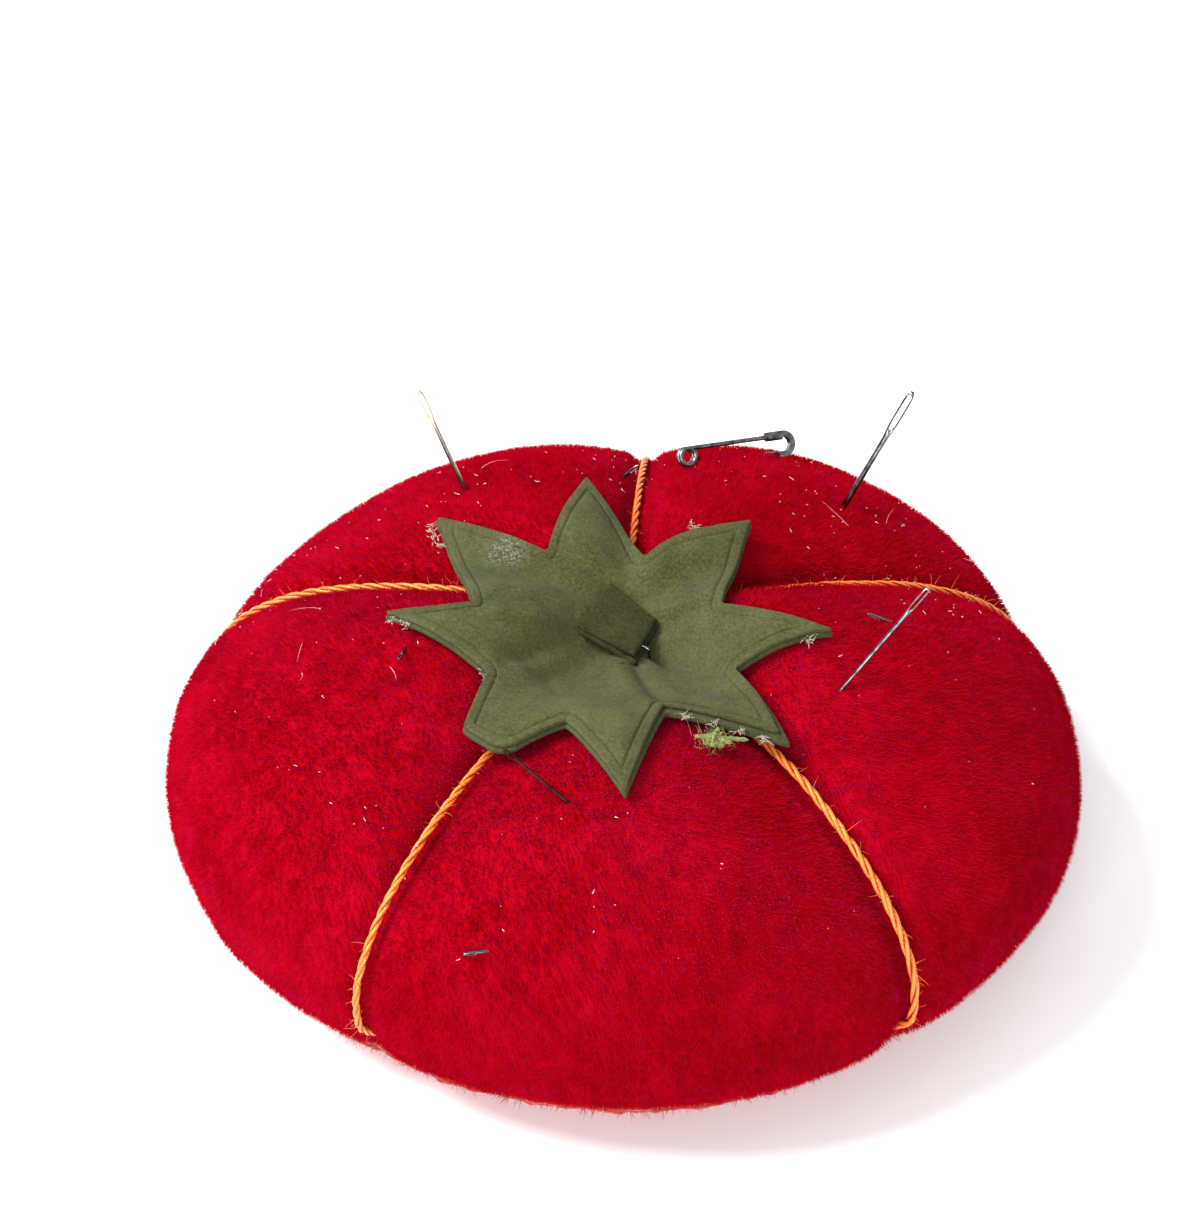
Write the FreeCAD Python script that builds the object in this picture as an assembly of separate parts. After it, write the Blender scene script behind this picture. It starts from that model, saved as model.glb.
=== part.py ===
import FreeCAD
import Part
import math
import os

# Tomato-shaped pin cushion: a five-lobed velvet ball pressed flat, tied through its middle,
# with a cord in each groove, a cloth leaf star on top, and needles and a safety pin in it.
# Millimetres and degrees. The origin is the centre of the flat rest face, +Z is up, and the
# front of the cushion faces -Y. Angles run from +X towards +Y.

Vector = FreeCAD.Vector

# Cushion
reach = 65.0                      # nominal radius at the waist
seam_angles = (18.5, 86.5, 164.5, 237.5, 306.4)
lobe_shares = (0.992, 0.947, 1.000, 0.980, 0.994)   # each lobe's radius as a share of the reach
crown_height = 49.7               # top of the lobes before the middle is tied down
waist_height = 19.1               # where the cushion is widest
groove_pull = 0.031               # share of the radius lost in a groove
groove_drop = 0.134               # share of the height lost in a groove
lobe_power = 0.68                 # how full a lobe is between its two grooves
crown_power = 0.77                # roundness of the upper half in plan
shoulder_power = 0.98             # roundness of the upper half in height
belly_power = 0.86                # roundness of the lower half in plan
heel_power = 0.96                 # roundness of the lower half in height
base_share = 0.60                 # flat base radius as a share of the waist radius
dimple_middle = (0.5, -11.5)      # where the top is drawn down deepest
dimple_depth = 9.5
dimple_spread = 14.0
tie_blend = 8.0                   # grooves fade out within this distance of the tie
top_hole = 4.0                    # the gathered opening at the top
cover_wall = 1.3                  # velvet and its backing
seam_height = 4.5                 # the cover meets the underside cloth here
tied_share = 0.6                  # share of the groove drop that the tied middle keeps

# How each cloth lies: how far it follows the grooves, and how soft its creases are
velvet_lie = (1.0, 0.07)
leaf_lie = (0.5, 0.6)

# Grid of the cushion's surfaces
columns_per_lobe = 8
top_rows = 13
belly_rows = 7

# Seam, cords and ties
seam_overhang = 1.1               # raw edges standing out of the base seam
seam_thickness = 0.9
cord_diameter = 1.4
cord_lift = -0.3                  # the cord's centre line above the bottom of its groove
cord_names = ("lobe_cord_right_back", "lobe_cord_back", "lobe_cord_left_back",
              "lobe_cord_front_left", "lobe_cord_front_right")
tie_sink = 1.1                    # how much deeper the cords lie at the tie
cord_stations = (0.984, 0.93, 0.85, 0.76, 0.66, 0.55, 0.44, 0.32, 0.19, 0.05, -0.11, -0.28, -0.48)
tie_diameter = 1.2
tie_end = 0.25                    # how far each end of the tie goes into its knot
top_knot_size = 3.2
top_knot_height = 1.6
bottom_knot_size = 3.0
bottom_knot_height = 1.4
bottom_knot_level = 0.3           # the knot is sunk in the underside cloth

# Leaf: its points and the notches between them, seen from above
leaf_corners = ((13.2, -4.5), (17.8, 13.0), (2.8, 6.7), (-5.6, 25.0), (-10.8, 6.4), (-26.8, 16.1),
                (-20.3, -7.3), (-32.2, -8.0), (-18.0, -18.3), (-20.7, -27.8), (-16.7, -31.4),
                (-13.7, -31.8), (-7.4, -28.5), (0.3, -41.5), (5.2, -24.3), (20.2, -28.5),
                (14.8, -15.1), (27.9, -11.8))
backing_corners = {14: (5.4, -25.8), 15: (21.5, -29.7)}    # where the lower layer reaches further
leaf_cloth = 0.8                  # thickness of each of the two layers
leaf_gap = 0.35                   # between the velvet and the lower layer
patch_corners = ((-1.8, 2.1), (-6.2, -5.3), (1.4, -10.0), (4.3, -3.3))
patch_cloth = 0.8
staple_wire = 0.45
staple_span = 2.6
staple_share = 0.3                # along the square's front right edge
staple_rise = 0.5                 # its feet end this far above the leaf
yarn_diameter = 1.3
yarn_loop = 1.7
yarn_tilts = (20, -25)
yarn_lift = 2.1
yarn_place = (293.0, 33.6)

# Needles: where each goes in (angle, distance from the middle), the way it leans
# (azimuth, angle from vertical), and its exposed length, length, shaft, eye width, eye length.
needles = {
    "gold_eye_needle": (132.0, 35.1, 155, 25, 15.8, 39.0, 0.73, 1.05, 5.6),
    "tapestry_needle": (38.5, 41.0, 21, 29, 19.2, 40.0, 0.88, 1.35, 8.3),
    "crewel_needle": (327.0, 34.7, 20, 40, 17.0, 36.0, 0.52, 0.86, 5.0),
    "sharps_needle": (260.5, 41.5, 155, 59, 10.5, 33.0, 0.50, 0.72, 2.4),
    "right_buried_needle": (350.5, 35.8, 190, 62, 3.2, 24.0, 0.45, 0.62, 2.6),
    "front_buried_needle": (253.0, 58.3, 199, 84, 2.7, 28.0, 0.55, 0.80, 2.2),
    "left_buried_needle": (206.5, 32.6, 262, 74, 3.0, 20.0, 0.50, 0.70, 2.2),
    "back_buried_needle": (89.5, 36.8, 5, 48, 2.3, 30.0, 0.50, 0.70, 2.2),
}
needle_taper = 6.0                # length of a needle's sharpened end
needle_point = 0.08               # width of its very tip
needle_eye_flat = 0.8             # thickness of the eye as a share of the shaft
eye_wall = 0.24                   # each side of the eye as a share of its width
eye_neck = 0.9                    # width where the eye starts, as a share of the shaft
eye_foot = 0.22                   # solid metal below the slot, as a share of the eye's length
eye_crown = 1.6                   # metal above the slot, in eye walls
needle_clearance = 0.05           # around a needle in the stuffing and the velvet
channel_spare = 1.0               # channel beyond a needle's buried end

# Safety pin, in its own flat frame: along the arms, across them, and along the coil's axis
pin_wire = 0.7
pin_coil = 1.2                    # mean radius of the coil
pin_length = 19.5
pin_coil_place = (75.5, 35.4)     # angle and distance of the coil over the cushion
pin_clasp_place = (60.0, 48.6)
pin_lift = 0.6                    # the buried arm's centre line above the surface at its ends
pin_lean = 33.0                   # the pin leans back from upright
coil_gap = 0.04                   # between the coil's two turns
coil_turn = 340.0
arm_setback = 1.1                 # the arm's tip ends this far inside the clasp
pin_pocket = 0.15                 # room around the coil and clasp where they touch the velvet
clasp_length = 4.6
clasp_height = 3.9
clasp_sheet = 0.3
clasp_band = 0.85                 # width of the bent sheet in side view
clasp_lip = 1.6                   # the lower lip starts this far in from the clasp's open end
arm_taper = 5.0

# How the surfaces and tubes are drawn
angle_step = 0.3                  # for the surface's slope
level_step = 0.004
arc_share = 0.45                  # of the shorter run, taken by each end of an arc between runs


def polar(angle, distance, height=0.0):
    turn = math.radians(angle)
    return Vector(distance * math.cos(turn), distance * math.sin(turn), height)


def lobe_at(angle):
    """Which lobe an angle is in, and how far across it, from 0 to 1."""
    for lobe, start in enumerate(seam_angles):
        width = (seam_angles[(lobe + 1) % 5] - start) % 360
        across = (angle - start) % 360
        if across < width:
            return lobe, across / width


def fullness(share, rounding):
    """0 in a groove and 1 at the middle of a lobe, with a rounded crease."""
    wave = math.sin(math.pi * share)
    low = rounding ** lobe_power
    high = (1 + rounding ** 2) ** (lobe_power / 2)
    return ((wave ** 2 + rounding ** 2) ** (lobe_power / 2) - low) / (high - low)


def skin(angle, level, lie=velvet_lie):
    """A point of the velvet: level is 1 at the tie, 0 at the waist and -1 at the base rim."""
    lobe, share = lobe_at(angle)
    groove_following, rounding = lie
    hollow = groove_following * (1 - fullness(share, rounding))
    bulge = 1 + (lobe_shares[lobe] - 1) * math.sin(math.pi * share)
    waist = reach * (1 - groove_pull * hollow) * bulge
    climb = math.radians(90 * abs(level))
    side = max(math.cos(climb), 1e-9)
    if level < 0:
        radius = waist * (base_share + (1 - base_share) * side ** belly_power)
        return polar(angle, radius, waist_height * (1 - math.sin(climb) ** heel_power))
    radius = waist * side ** crown_power
    loose = 1 - math.exp(-(radius / tie_blend) ** 2)
    drop = groove_drop * (hollow * loose + tied_share * (1 - loose))
    rise = crown_height * (1 - drop) - waist_height
    height = waist_height + rise * math.sin(climb) ** shoulder_power
    away = polar(angle, radius).distanceToPoint(Vector(*dimple_middle, 0))
    return polar(angle, radius, height - dimple_depth * math.exp(-(away / dimple_spread) ** 2))


def skin_normal(angle, level, lie=velvet_lie):
    around = skin(angle + angle_step, level, lie) - skin(angle - angle_step, level, lie)
    lower = skin(angle, max(level - level_step, -1), lie)
    upper = skin(angle, min(level + level_step, 1 - level_step), lie)
    return (lower - upper).cross(around).normalize()


def hole_level(radius):
    return 1 - math.degrees(math.asin((radius / reach) ** (1 / crown_power))) / 90


def tied_height(lie=velvet_lie):
    """Mean height of the cloth around the gathered opening."""
    angles = column_angles()
    return sum(skin(angle, hole_level(top_hole), lie).z for angle in angles) / len(angles)


def row_levels():
    top = hole_level(top_hole)
    upper = [top * (1 - row / top_rows) for row in range(top_rows)]
    return upper + [-row / belly_rows for row in range(belly_rows + 1)]


def column_angles():
    angles = []
    for lobe, start in enumerate(seam_angles):
        width = (seam_angles[(lobe + 1) % 5] - start) % 360
        angles += [start + width * column / columns_per_lobe for column in range(columns_per_lobe)]
    return angles


def sharpened(items, closed):
    """Poles pushed away from their neighbours, so that the smoothed spline meets the points."""
    if closed:
        columns = zip(*[sharpened_ring(list(row)) for row in zip(*items)])
        return [list(column) for column in columns]
    ring = sharpened_ring(items)
    return items[:2] + ring[2:-2] + items[-2:]


def sharpened_ring(points):
    """An even cubic spline passes a pole at (before + 4 pole + after) / 6: this undoes most of it."""
    after = points[1:] + points[:1]
    before = points[-1:] + points[:-1]
    return [point * (4 / 3) - (low + high) * (1 / 6) for point, low, high in zip(points, before, after)]


def lobed_surface(outset, lie):
    """The velvet's surface moved out along its normals, as one closed spline surface."""
    levels = row_levels()
    floor = max(-outset, 0.0)
    top = tied_height(lie)
    grid = []
    for angle in column_angles():
        column = []
        for row, level in enumerate(levels):
            point = skin(angle, level, lie)
            if row == 0:
                point = polar(angle, top_hole, top + outset)
            elif row == len(levels) - 1:
                point += polar(angle, outset, floor)
            else:
                point += skin_normal(angle, level, lie) * outset
                point.z = max(point.z, floor)
            column.append(point)
        grid.append(column)
    grid = sharpened([sharpened(column, False) for column in grid], True)
    surface = Part.BSplineSurface()
    ends = [4] + [1] * (len(levels) - 4) + [4]
    surface.buildFromPolesMultsKnots(grid, [1] * (len(grid) + 1), ends, None, None, True, False, 3, 3)
    return surface


def lobed_solid(outset, lie=velvet_lie):
    """The lobed ball with flat faces across its gathered top and its base."""
    side = lobed_surface(outset, lie).toShape()
    rims = [edge for edge in side.Edges if edge.isClosed() and not edge.isSeam(side.Faces[0])]
    caps = [Part.Face(Part.Wire(edge)) for edge in rims]
    shell = Part.makeShell(side.Faces + caps)
    shell.sewShape()
    solid = Part.makeSolid(shell)
    if solid.Volume < 0:
        solid.reverse()
    return solid


def slab(low, high):
    span = 3 * reach
    return Part.makeBox(span, span, high - low, Vector(-span / 2, -span / 2, low))


def rod(start, end, radius):
    return Part.makeCylinder(radius, start.distanceToPoint(end), start, end - start)


def skin_spot(angle, distance, lie=velvet_lie):
    """The point of the velvet's upper surface above a place in plan."""
    low = 0.0
    high = 1.0
    for _ in range(40):
        middle = (low + high) / 2
        spot = skin(angle, middle, lie)
        if math.hypot(spot.x, spot.y) > distance:
            low = middle
        else:
            high = middle
    return spot


def rounded_route(points):
    """Straight runs joined by arcs as large as the runs allow."""
    edges = []
    last = points[0]
    for before, corner, after in zip(points, points[1:], points[2:]):
        inward = corner - before
        outward = after - corner
        tangent = arc_share * min(inward.Length, outward.Length)
        half_turn = inward.getAngle(outward) / 2
        start = corner - inward.normalize() * tangent
        end = corner + outward.normalize() * tangent
        radius = tangent / math.tan(half_turn)
        inside = ((start + end) * 0.5 - corner).normalize()
        middle = corner + inside * (radius / math.cos(half_turn) - radius)
        edges.append(Part.LineSegment(last, start).toShape())
        edges.append(Part.Arc(start, middle, end).toShape())
        last = end
    edges.append(Part.LineSegment(last, points[-1]).toShape())
    return Part.Wire(edges)


def tube(points, radius):
    route = rounded_route(points)
    ring = Part.Wire(Part.makeCircle(radius, points[0], points[1] - points[0]))
    return route.makePipeShell([ring], True, False)


def cord_points(angle):
    """Along the bottom of a groove, sinking into the gathered velvet near the tie."""
    points = []
    for level in cord_stations:
        spot = skin(angle, level)
        sink = tie_sink * math.exp(-(math.hypot(spot.x, spot.y) / tie_blend) ** 2)
        points.append(spot + skin_normal(angle, level) * (cord_lift - sink))
    return points


def lobe_cord(angle):
    cord = tube(cord_points(angle), cord_diameter / 2)
    return cord.common(slab(seam_height + seam_thickness / 2, 2 * crown_height))


def top_knot_level():
    """The knot is pulled into the gathered velvet, so that the leaf lies over it."""
    return tied_height() - top_knot_height


def centre_tie():
    bottom = Vector(0, 0, bottom_knot_level + bottom_knot_height - tie_end)
    top = Vector(0, 0, top_knot_level() + tie_end)
    return rod(bottom, top, tie_diameter / 2)


def knot(size, height, level):
    """A pulled knot: a flattened ball."""
    ball = Part.makeSphere(size / 2)
    squash = FreeCAD.Matrix()
    squash.scale(1.0, 1.0, height / size)
    ball = ball.transformGeometry(squash)
    ball.translate(Vector(0, 0, level + height / 2))
    return ball


def prism(corners):
    ring = [Vector(x, y, waist_height) for x, y in corners]
    return Part.Face(Part.makePolygon(ring + ring[:1])).extrude(Vector(0, 0, crown_height))


def leaf_layer(corners, low, high):
    """Cloth of this outline between two heights over the velvet."""
    return prism(corners).common(lobed_solid(high, leaf_lie)).cut(lobed_solid(low, leaf_lie))


def leaf_layers():
    """The leaf's two layers, then the folded square's two layers, from the bottom upwards."""
    backing = [backing_corners.get(index, corner) for index, corner in enumerate(leaf_corners)]
    outlines = (("leaf_backing", backing, leaf_cloth), ("leaf_top", leaf_corners, leaf_cloth),
                ("stem_patch_lower", patch_corners, patch_cloth),
                ("stem_patch_upper", patch_corners, patch_cloth))
    layers = {}
    low = leaf_gap
    for name, corners, thickness in outlines:
        layers[name] = leaf_layer(corners, low, low + thickness)
        low += thickness
    return layers


def patch_staple():
    """A bent wire over the edge of the square."""
    start = Vector(*patch_corners[2], 0)
    edge = Vector(*patch_corners[3], 0) - start
    place = start + edge * staple_share
    surface = skin_spot(math.degrees(math.atan2(place.y, place.x)), place.Length, leaf_lie).z
    floor = surface + leaf_gap + 2 * leaf_cloth
    foot = floor + staple_rise
    top = floor + 2 * patch_cloth + staple_wire
    half = edge.cross(Vector(0, 0, 1)).normalize() * (staple_span / 2)
    low = place + Vector(0, 0, foot)
    high = place + Vector(0, 0, top)
    return tube([low - half, high - half, high + half, low + half], staple_wire / 2)


def yarn_knot():
    """A short end of yarn in two loops beside the leaf's edge."""
    place = skin_spot(*yarn_place)
    radius = yarn_diameter / 2
    loops = []
    for shift, tilt in zip((-yarn_loop, yarn_loop), yarn_tilts):
        loop = Part.makeTorus(yarn_loop, radius)
        loop.rotate(Vector(), Vector(0, 1, 0), tilt)
        loop.translate(place + Vector(shift, 0, yarn_lift))
        loops.append(loop)
    return loops[0].fuse(loops[1])


def needle_direction(azimuth, lean):
    tilt = math.radians(lean)
    return polar(azimuth, math.sin(tilt), math.cos(tilt))


def needle_placement(name):
    """Moves a needle drawn along +Z, with its tip at the origin, to its place."""
    angle, distance, azimuth, lean, exposed, length = needles[name][:6]
    outward = needle_direction(azimuth, lean)
    tip = skin_spot(angle, distance) - outward * (length - exposed)
    return FreeCAD.Placement(tip, FreeCAD.Rotation(Vector(0, 0, 1), outward))


def eye_outline(width, shaft, bottom, top):
    """The flat shape of the eye end: a taper from the shaft, straight sides and a round top."""
    half = width / 2
    shoulder = bottom + 3 * (half - shaft / 2) + shaft
    crown = top - half
    left = [Vector(-shaft / 2, 0, bottom), Vector(-half, 0, shoulder), Vector(-half, 0, crown)]
    right = [Vector(half, 0, crown), Vector(half, 0, shoulder), Vector(shaft / 2, 0, bottom)]
    edges = [Part.LineSegment(a, b).toShape() for a, b in zip(left, left[1:])]
    edges.append(Part.Arc(left[-1], Vector(0, 0, top), right[0]).toShape())
    edges += [Part.LineSegment(a, b).toShape() for a, b in zip(right, right[1:])]
    edges.append(Part.LineSegment(right[-1], left[0]).toShape())
    return Part.Wire(edges)


def needle(name):
    length, shaft, eye_width, eye_length = needles[name][5:]
    radius = shaft / 2
    eye_start = length - eye_length
    thick = shaft * needle_eye_flat
    point = Part.makeCone(needle_point / 2, radius, needle_taper)
    stem = Part.makeCylinder(radius, eye_start + shaft - needle_taper, Vector(0, 0, needle_taper))
    head = Part.Face(eye_outline(eye_width, shaft * eye_neck, eye_start, length))
    head.translate(Vector(0, -thick / 2, 0))
    head = head.extrude(Vector(0, thick, 0))
    wall = eye_width * eye_wall
    slot_half = eye_width / 2 - wall
    low = eye_start + eye_length * eye_foot + slot_half
    high = length - eye_crown * wall - slot_half
    slot = Part.makeBox(2 * slot_half, 2 * shaft, high - low, Vector(-slot_half, -shaft, low))
    for end in (low, high):
        slot = slot.fuse(Part.makeCylinder(slot_half, 2 * shaft, Vector(0, -shaft, end), Vector(0, 1, 0)))
    shape = point.fuse([stem, head]).cut(slot).removeSplitter()
    shape.Placement = needle_placement(name)
    return shape


def needle_channel(name):
    """The hole that a needle has made, wide enough for what is buried of it."""
    exposed, length, shaft, eye_width, eye_length = needles[name][4:]
    width = eye_width if exposed < eye_length + 1 else shaft
    radius = width / 2 + needle_clearance
    hole = Part.makeCylinder(radius, length + channel_spare, Vector(0, 0, -channel_spare))
    hole.Placement = needle_placement(name)
    return hole


def pin_frame():
    """The safety pin's flat frame: X along the arms, Y along the coil's axis, Z to the spine."""
    coil = skin_spot(*pin_coil_place)
    clasp = skin_spot(*pin_clasp_place)
    along = (clasp - coil).normalize()
    axis = Vector(0, 0, 1).cross(along).normalize()
    up = along.cross(axis)
    lean = FreeCAD.Rotation(along, -pin_lean)
    origin = coil + up * (pin_lift + pin_coil)
    turn = FreeCAD.Rotation(along, lean.multVec(axis), lean.multVec(up), "XZY")
    return FreeCAD.Placement(origin, turn)


def in_pin_frame(shape):
    shape.Placement = pin_frame().multiply(shape.Placement)
    return shape


def coil_side(sign):
    """The coil's two turns lie side by side along its axis."""
    return Vector(0, sign * (pin_wire + coil_gap) / 2, 0)


def pin_end():
    return pin_length - pin_coil - pin_wire / 2


def coil_point(turn):
    return Vector(pin_coil * math.cos(math.radians(turn)), 0, pin_coil * math.sin(math.radians(turn)))


def coiled_wire(side, length):
    """A straight wire that ends in its turn of the coil; side is 1 for the upper wire."""
    start = side * 90
    end = side * (90 + coil_turn)
    line = Part.LineSegment(Vector(length, 0, side * pin_coil), coil_point(start)).toShape()
    bend = Part.Arc(coil_point(start), coil_point((start + end) / 2), coil_point(end)).toShape()
    ring = Part.Wire(Part.makeCircle(pin_wire / 2, Vector(length, 0, side * pin_coil), Vector(1, 0, 0)))
    wire = Part.Wire([line, bend]).makePipeShell([ring], True, False)
    wire.translate(coil_side(-side))
    return wire


def arm_length():
    return pin_end() - clasp_sheet - arm_setback - arm_taper


def safety_pin_arm():
    """The pointed arm, which is in the cushion, with its turn of the coil."""
    start = Vector(arm_length(), 0, -pin_coil) + coil_side(1)
    tip = Part.makeCone(pin_wire / 2, needle_point, arm_taper, start, Vector(1, 0, 0))
    return in_pin_frame(coiled_wire(-1, arm_length()).fuse(tip))


def safety_pin_spine():
    """The spine, with the other turn of the coil."""
    return in_pin_frame(coiled_wire(1, pin_end() - clasp_height / 2))


def safety_pin_hollows():
    """Where the arm goes through the velvet, and the hollows that the coil and clasp press in it."""
    start = coil_side(1) + Vector(0, 0, -pin_coil)
    arm = rod(start, start + Vector(pin_end(), 0, 0), pin_wire / 2 + needle_clearance)
    thick = 2 * pin_wire + coil_gap + 2 * clasp_sheet + 2 * pin_pocket
    low = -clasp_height / 2 - pin_pocket
    back = pin_end() - clasp_length - pin_pocket
    clasp = Part.makeBox(clasp_length + 2 * pin_pocket, thick, clasp_height, Vector(back, -thick / 2, low))
    around = pin_coil + pin_wire / 2 + pin_pocket
    coil = Part.makeCylinder(around, thick, Vector(0, -thick / 2, 0), Vector(0, 1, 0))
    return [in_pin_frame(hollow) for hollow in (arm, clasp, coil)]


def clasp_edges(inset):
    """A straight top over the spine, a round end and a lower lip that stops short."""
    half = clasp_height / 2 - inset
    round_middle = pin_end() - clasp_height / 2
    back = Vector(pin_end() - clasp_length, 0, half)
    top = Vector(round_middle, 0, half)
    bottom = Vector(round_middle, 0, -half)
    lip = Vector(pin_end() - clasp_length + clasp_lip, 0, -half)
    return [Part.LineSegment(back, top), Part.Arc(top, Vector(round_middle + half, 0, 0), bottom),
            Part.LineSegment(bottom, lip)]


def safety_pin_clasp():
    """A bent sheet cap: crimped round the spine, round at its end, beside the arm's point."""
    middle = coil_side(-1)
    outer = clasp_edges(0)
    inner = clasp_edges(clasp_band)
    ends = [Part.LineSegment(inner[0].StartPoint, outer[0].StartPoint),
            Part.LineSegment(inner[2].EndPoint, outer[2].EndPoint)]
    band = Part.Face(Part.Wire(Part.__sortEdges__([edge.toShape() for edge in outer + inner + ends])))
    front = pin_wire / 2 + clasp_sheet
    band.translate(middle - Vector(0, front, 0))
    hook = band.extrude(Vector(0, front + pin_wire / 2, 0))
    spine_line = Vector(pin_end() - clasp_length, 0, pin_coil) + middle
    sleeve = Part.makeCylinder(front, clasp_length - clasp_height / 2, spine_line, Vector(1, 0, 0))
    bore_end = Vector(pin_end() - clasp_height / 2, 0, pin_coil) + middle
    bore = rod(Vector(0, 0, pin_coil) + middle, bore_end, pin_wire / 2)
    return in_pin_frame(sleeve.fuse(hook).cut(bore))


def channels():
    return [needle_channel(name) for name in needles] + safety_pin_hollows()


def cushion_parts():
    outer = lobed_solid(0)
    inner = lobed_solid(-cover_wall)
    wall = outer.cut(inner)
    tie = centre_tie()
    top_knot = knot(top_knot_size, top_knot_height, top_knot_level())
    bottom_knot = knot(bottom_knot_size, bottom_knot_height, bottom_knot_level)
    cords = {name: lobe_cord(angle) for name, angle in zip(cord_names, seam_angles)}
    seam_low = seam_height - seam_thickness / 2
    overhang = lobed_solid(seam_overhang).common(slab(seam_low, seam_low + seam_thickness))
    velvet = wall.common(slab(seam_height, 2 * crown_height))
    underside = wall.common(slab(-1, seam_height))
    parts = {
        "velvet_cover": velvet.cut([tie, top_knot] + list(cords.values()) + channels()),
        "underside_cloth": underside.cut([bottom_knot]),
        "base_seam": overhang.cut(outer),
        "stuffing": inner.cut([tie, top_knot, bottom_knot] + list(cords.values()) + channels()),
        "centre_tie": tie,
        "top_knot": top_knot.cut(tie),
        "bottom_knot": bottom_knot.cut(tie),
    }
    parts.update(cords)
    return parts


def leaf_parts():
    staple = patch_staple()
    parts = {name: layer.cut(staple) for name, layer in leaf_layers().items()}
    parts["patch_staple"] = staple
    parts["green_yarn"] = yarn_knot()
    return parts


def metal_parts():
    parts = {name: needle(name) for name in needles}
    parts["safety_pin_arm"] = safety_pin_arm()
    parts["safety_pin_spine"] = safety_pin_spine()
    parts["safety_pin_clasp"] = safety_pin_clasp()
    return parts


def all_parts():
    parts = cushion_parts()
    parts.update(leaf_parts())
    parts.update(metal_parts())
    return parts


# One STEP file for each piece
os.makedirs("parts", exist_ok=True)
for node, shape in all_parts().items():
    print(node, shape.ShapeType, len(shape.Solids), shape.isValid(), round(shape.Volume, 2))
    shape.exportStep("parts/" + node + ".step")
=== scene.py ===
import math

import bpy
import numpy as np
from mathutils import Matrix, Vector


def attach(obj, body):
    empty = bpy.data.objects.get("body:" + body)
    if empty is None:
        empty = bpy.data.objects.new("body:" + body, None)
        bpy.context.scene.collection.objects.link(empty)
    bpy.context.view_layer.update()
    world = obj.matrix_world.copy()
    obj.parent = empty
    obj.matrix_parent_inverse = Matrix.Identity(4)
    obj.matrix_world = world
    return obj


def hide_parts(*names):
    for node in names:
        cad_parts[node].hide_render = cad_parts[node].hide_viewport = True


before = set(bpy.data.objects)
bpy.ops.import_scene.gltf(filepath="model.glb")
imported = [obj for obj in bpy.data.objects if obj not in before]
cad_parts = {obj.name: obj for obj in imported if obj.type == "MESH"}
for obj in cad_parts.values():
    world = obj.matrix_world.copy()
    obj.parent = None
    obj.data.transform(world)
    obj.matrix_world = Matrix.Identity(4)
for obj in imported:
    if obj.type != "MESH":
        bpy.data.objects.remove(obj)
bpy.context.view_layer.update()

# Velvet pin cushion. Shapes are worked out in millimetres and degrees, and made in metres.
MM = 0.001

# Cushion, as in the CAD model
REACH = 65.0
SEAMS = np.array((18.5, 86.5, 164.5, 237.5, 306.4))
WIDTHS = (np.roll(SEAMS, -1) - SEAMS) % 360
LOBE_SHARES = np.array((0.992, 0.947, 1.000, 0.980, 0.994))
CROWN_HEIGHT = 49.7
WAIST_HEIGHT = 19.1
GROOVE_PULL = 0.031
GROOVE_DROP = 0.134
LOBE_POWER = 0.68
CROWN_POWER = 0.77
SHOULDER_POWER = 0.98
BELLY_POWER = 0.86
HEEL_POWER = 0.96
BASE_SHARE = 0.60
DIMPLE_MIDDLE = (0.5, -11.5)
DIMPLE_DEPTH = 9.5
DIMPLE_SPREAD = 14.0
TIE_BLEND = 8.0
TIED_SHARE = 0.6
SEAM_HEIGHT = 4.5

# How each cloth lies: how far it follows the grooves, and how soft its creases are
VELVET_LIE = (1.0, 0.07)
LEAF_LIE = (0.5, 0.6)

# Velvet
BACKING_SINK = 0.75  # the velvet's ground cloth lies this far under the tips of its pile
BACKING_THICKNESS = 0.7
PILE_LENGTH = 1.25
PILE_WIDTH = 0.07
PILE_PER_LOBE = 48000
COLUMNS_PER_LOBE = 60
VELVET_ROWS = 110
LUMPS = ((0.45, 17.0, 3.3), (0.12, 5.0, 7.7))  # unevenness of the stuffing: height, size, shift
CREASE_DEPTH = 1.3  # the cords press the velvet in along the grooves
CREASE_WIDTH = 1.9
CREASE_FADE = 16.0  # the crease fades out within this distance of the tie
NEAR_TIE = 1.2
SHALLOW_LEAN = 55.0  # needles that lean more than this lie just under the velvet
PUCKER = (0.35, 1.6)  # depth and width of the hollow round a steep needle
NEEDLE_RIDGE = (0.75, 1.3)  # height and width of the velvet over a shallow needle
NEEDLE_RIDGE_RUN = (0.6, 7.0)
PIN_RIDGE = (1.0, 1.4)
PIN_RIDGE_ENDS = (2.0, 6.0)  # how far the ridge stops short of the coil and of the clasp
EVEN_COLUMNS = 0.45  # share of the columns' spacing that is even
NAP_LEAN = 0.55  # how far the pile leans down the nap
TUFT_LEAN = 0.25
SWIRL_LEAN = 0.4
SIDE_LEAN = 0.2
PILE_SCATTER = 0.28

# Cords
CORD_RADIUS = 0.56
TIE_SINK = 1.1
CORD_PITCH = 7.6
CORD_END_LEVEL = -0.34
CORD_DIVE_LEVEL = -0.12  # below this level a cord goes into the seam between the lobes
CORD_DIVE = 2.2
CORDS = {  # seam, lift over the groove's nominal bottom, size
    "lobe_cord_right_back": (0, -0.75, 0.85),
    "lobe_cord_back": (1, -1.05, 1.00),
    "lobe_cord_left_back": (2, -0.55, 1.00),
    "lobe_cord_front_left": (3, -0.30, 0.90),
    "lobe_cord_front_right": (4, -0.15, 1.05),
}

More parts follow.
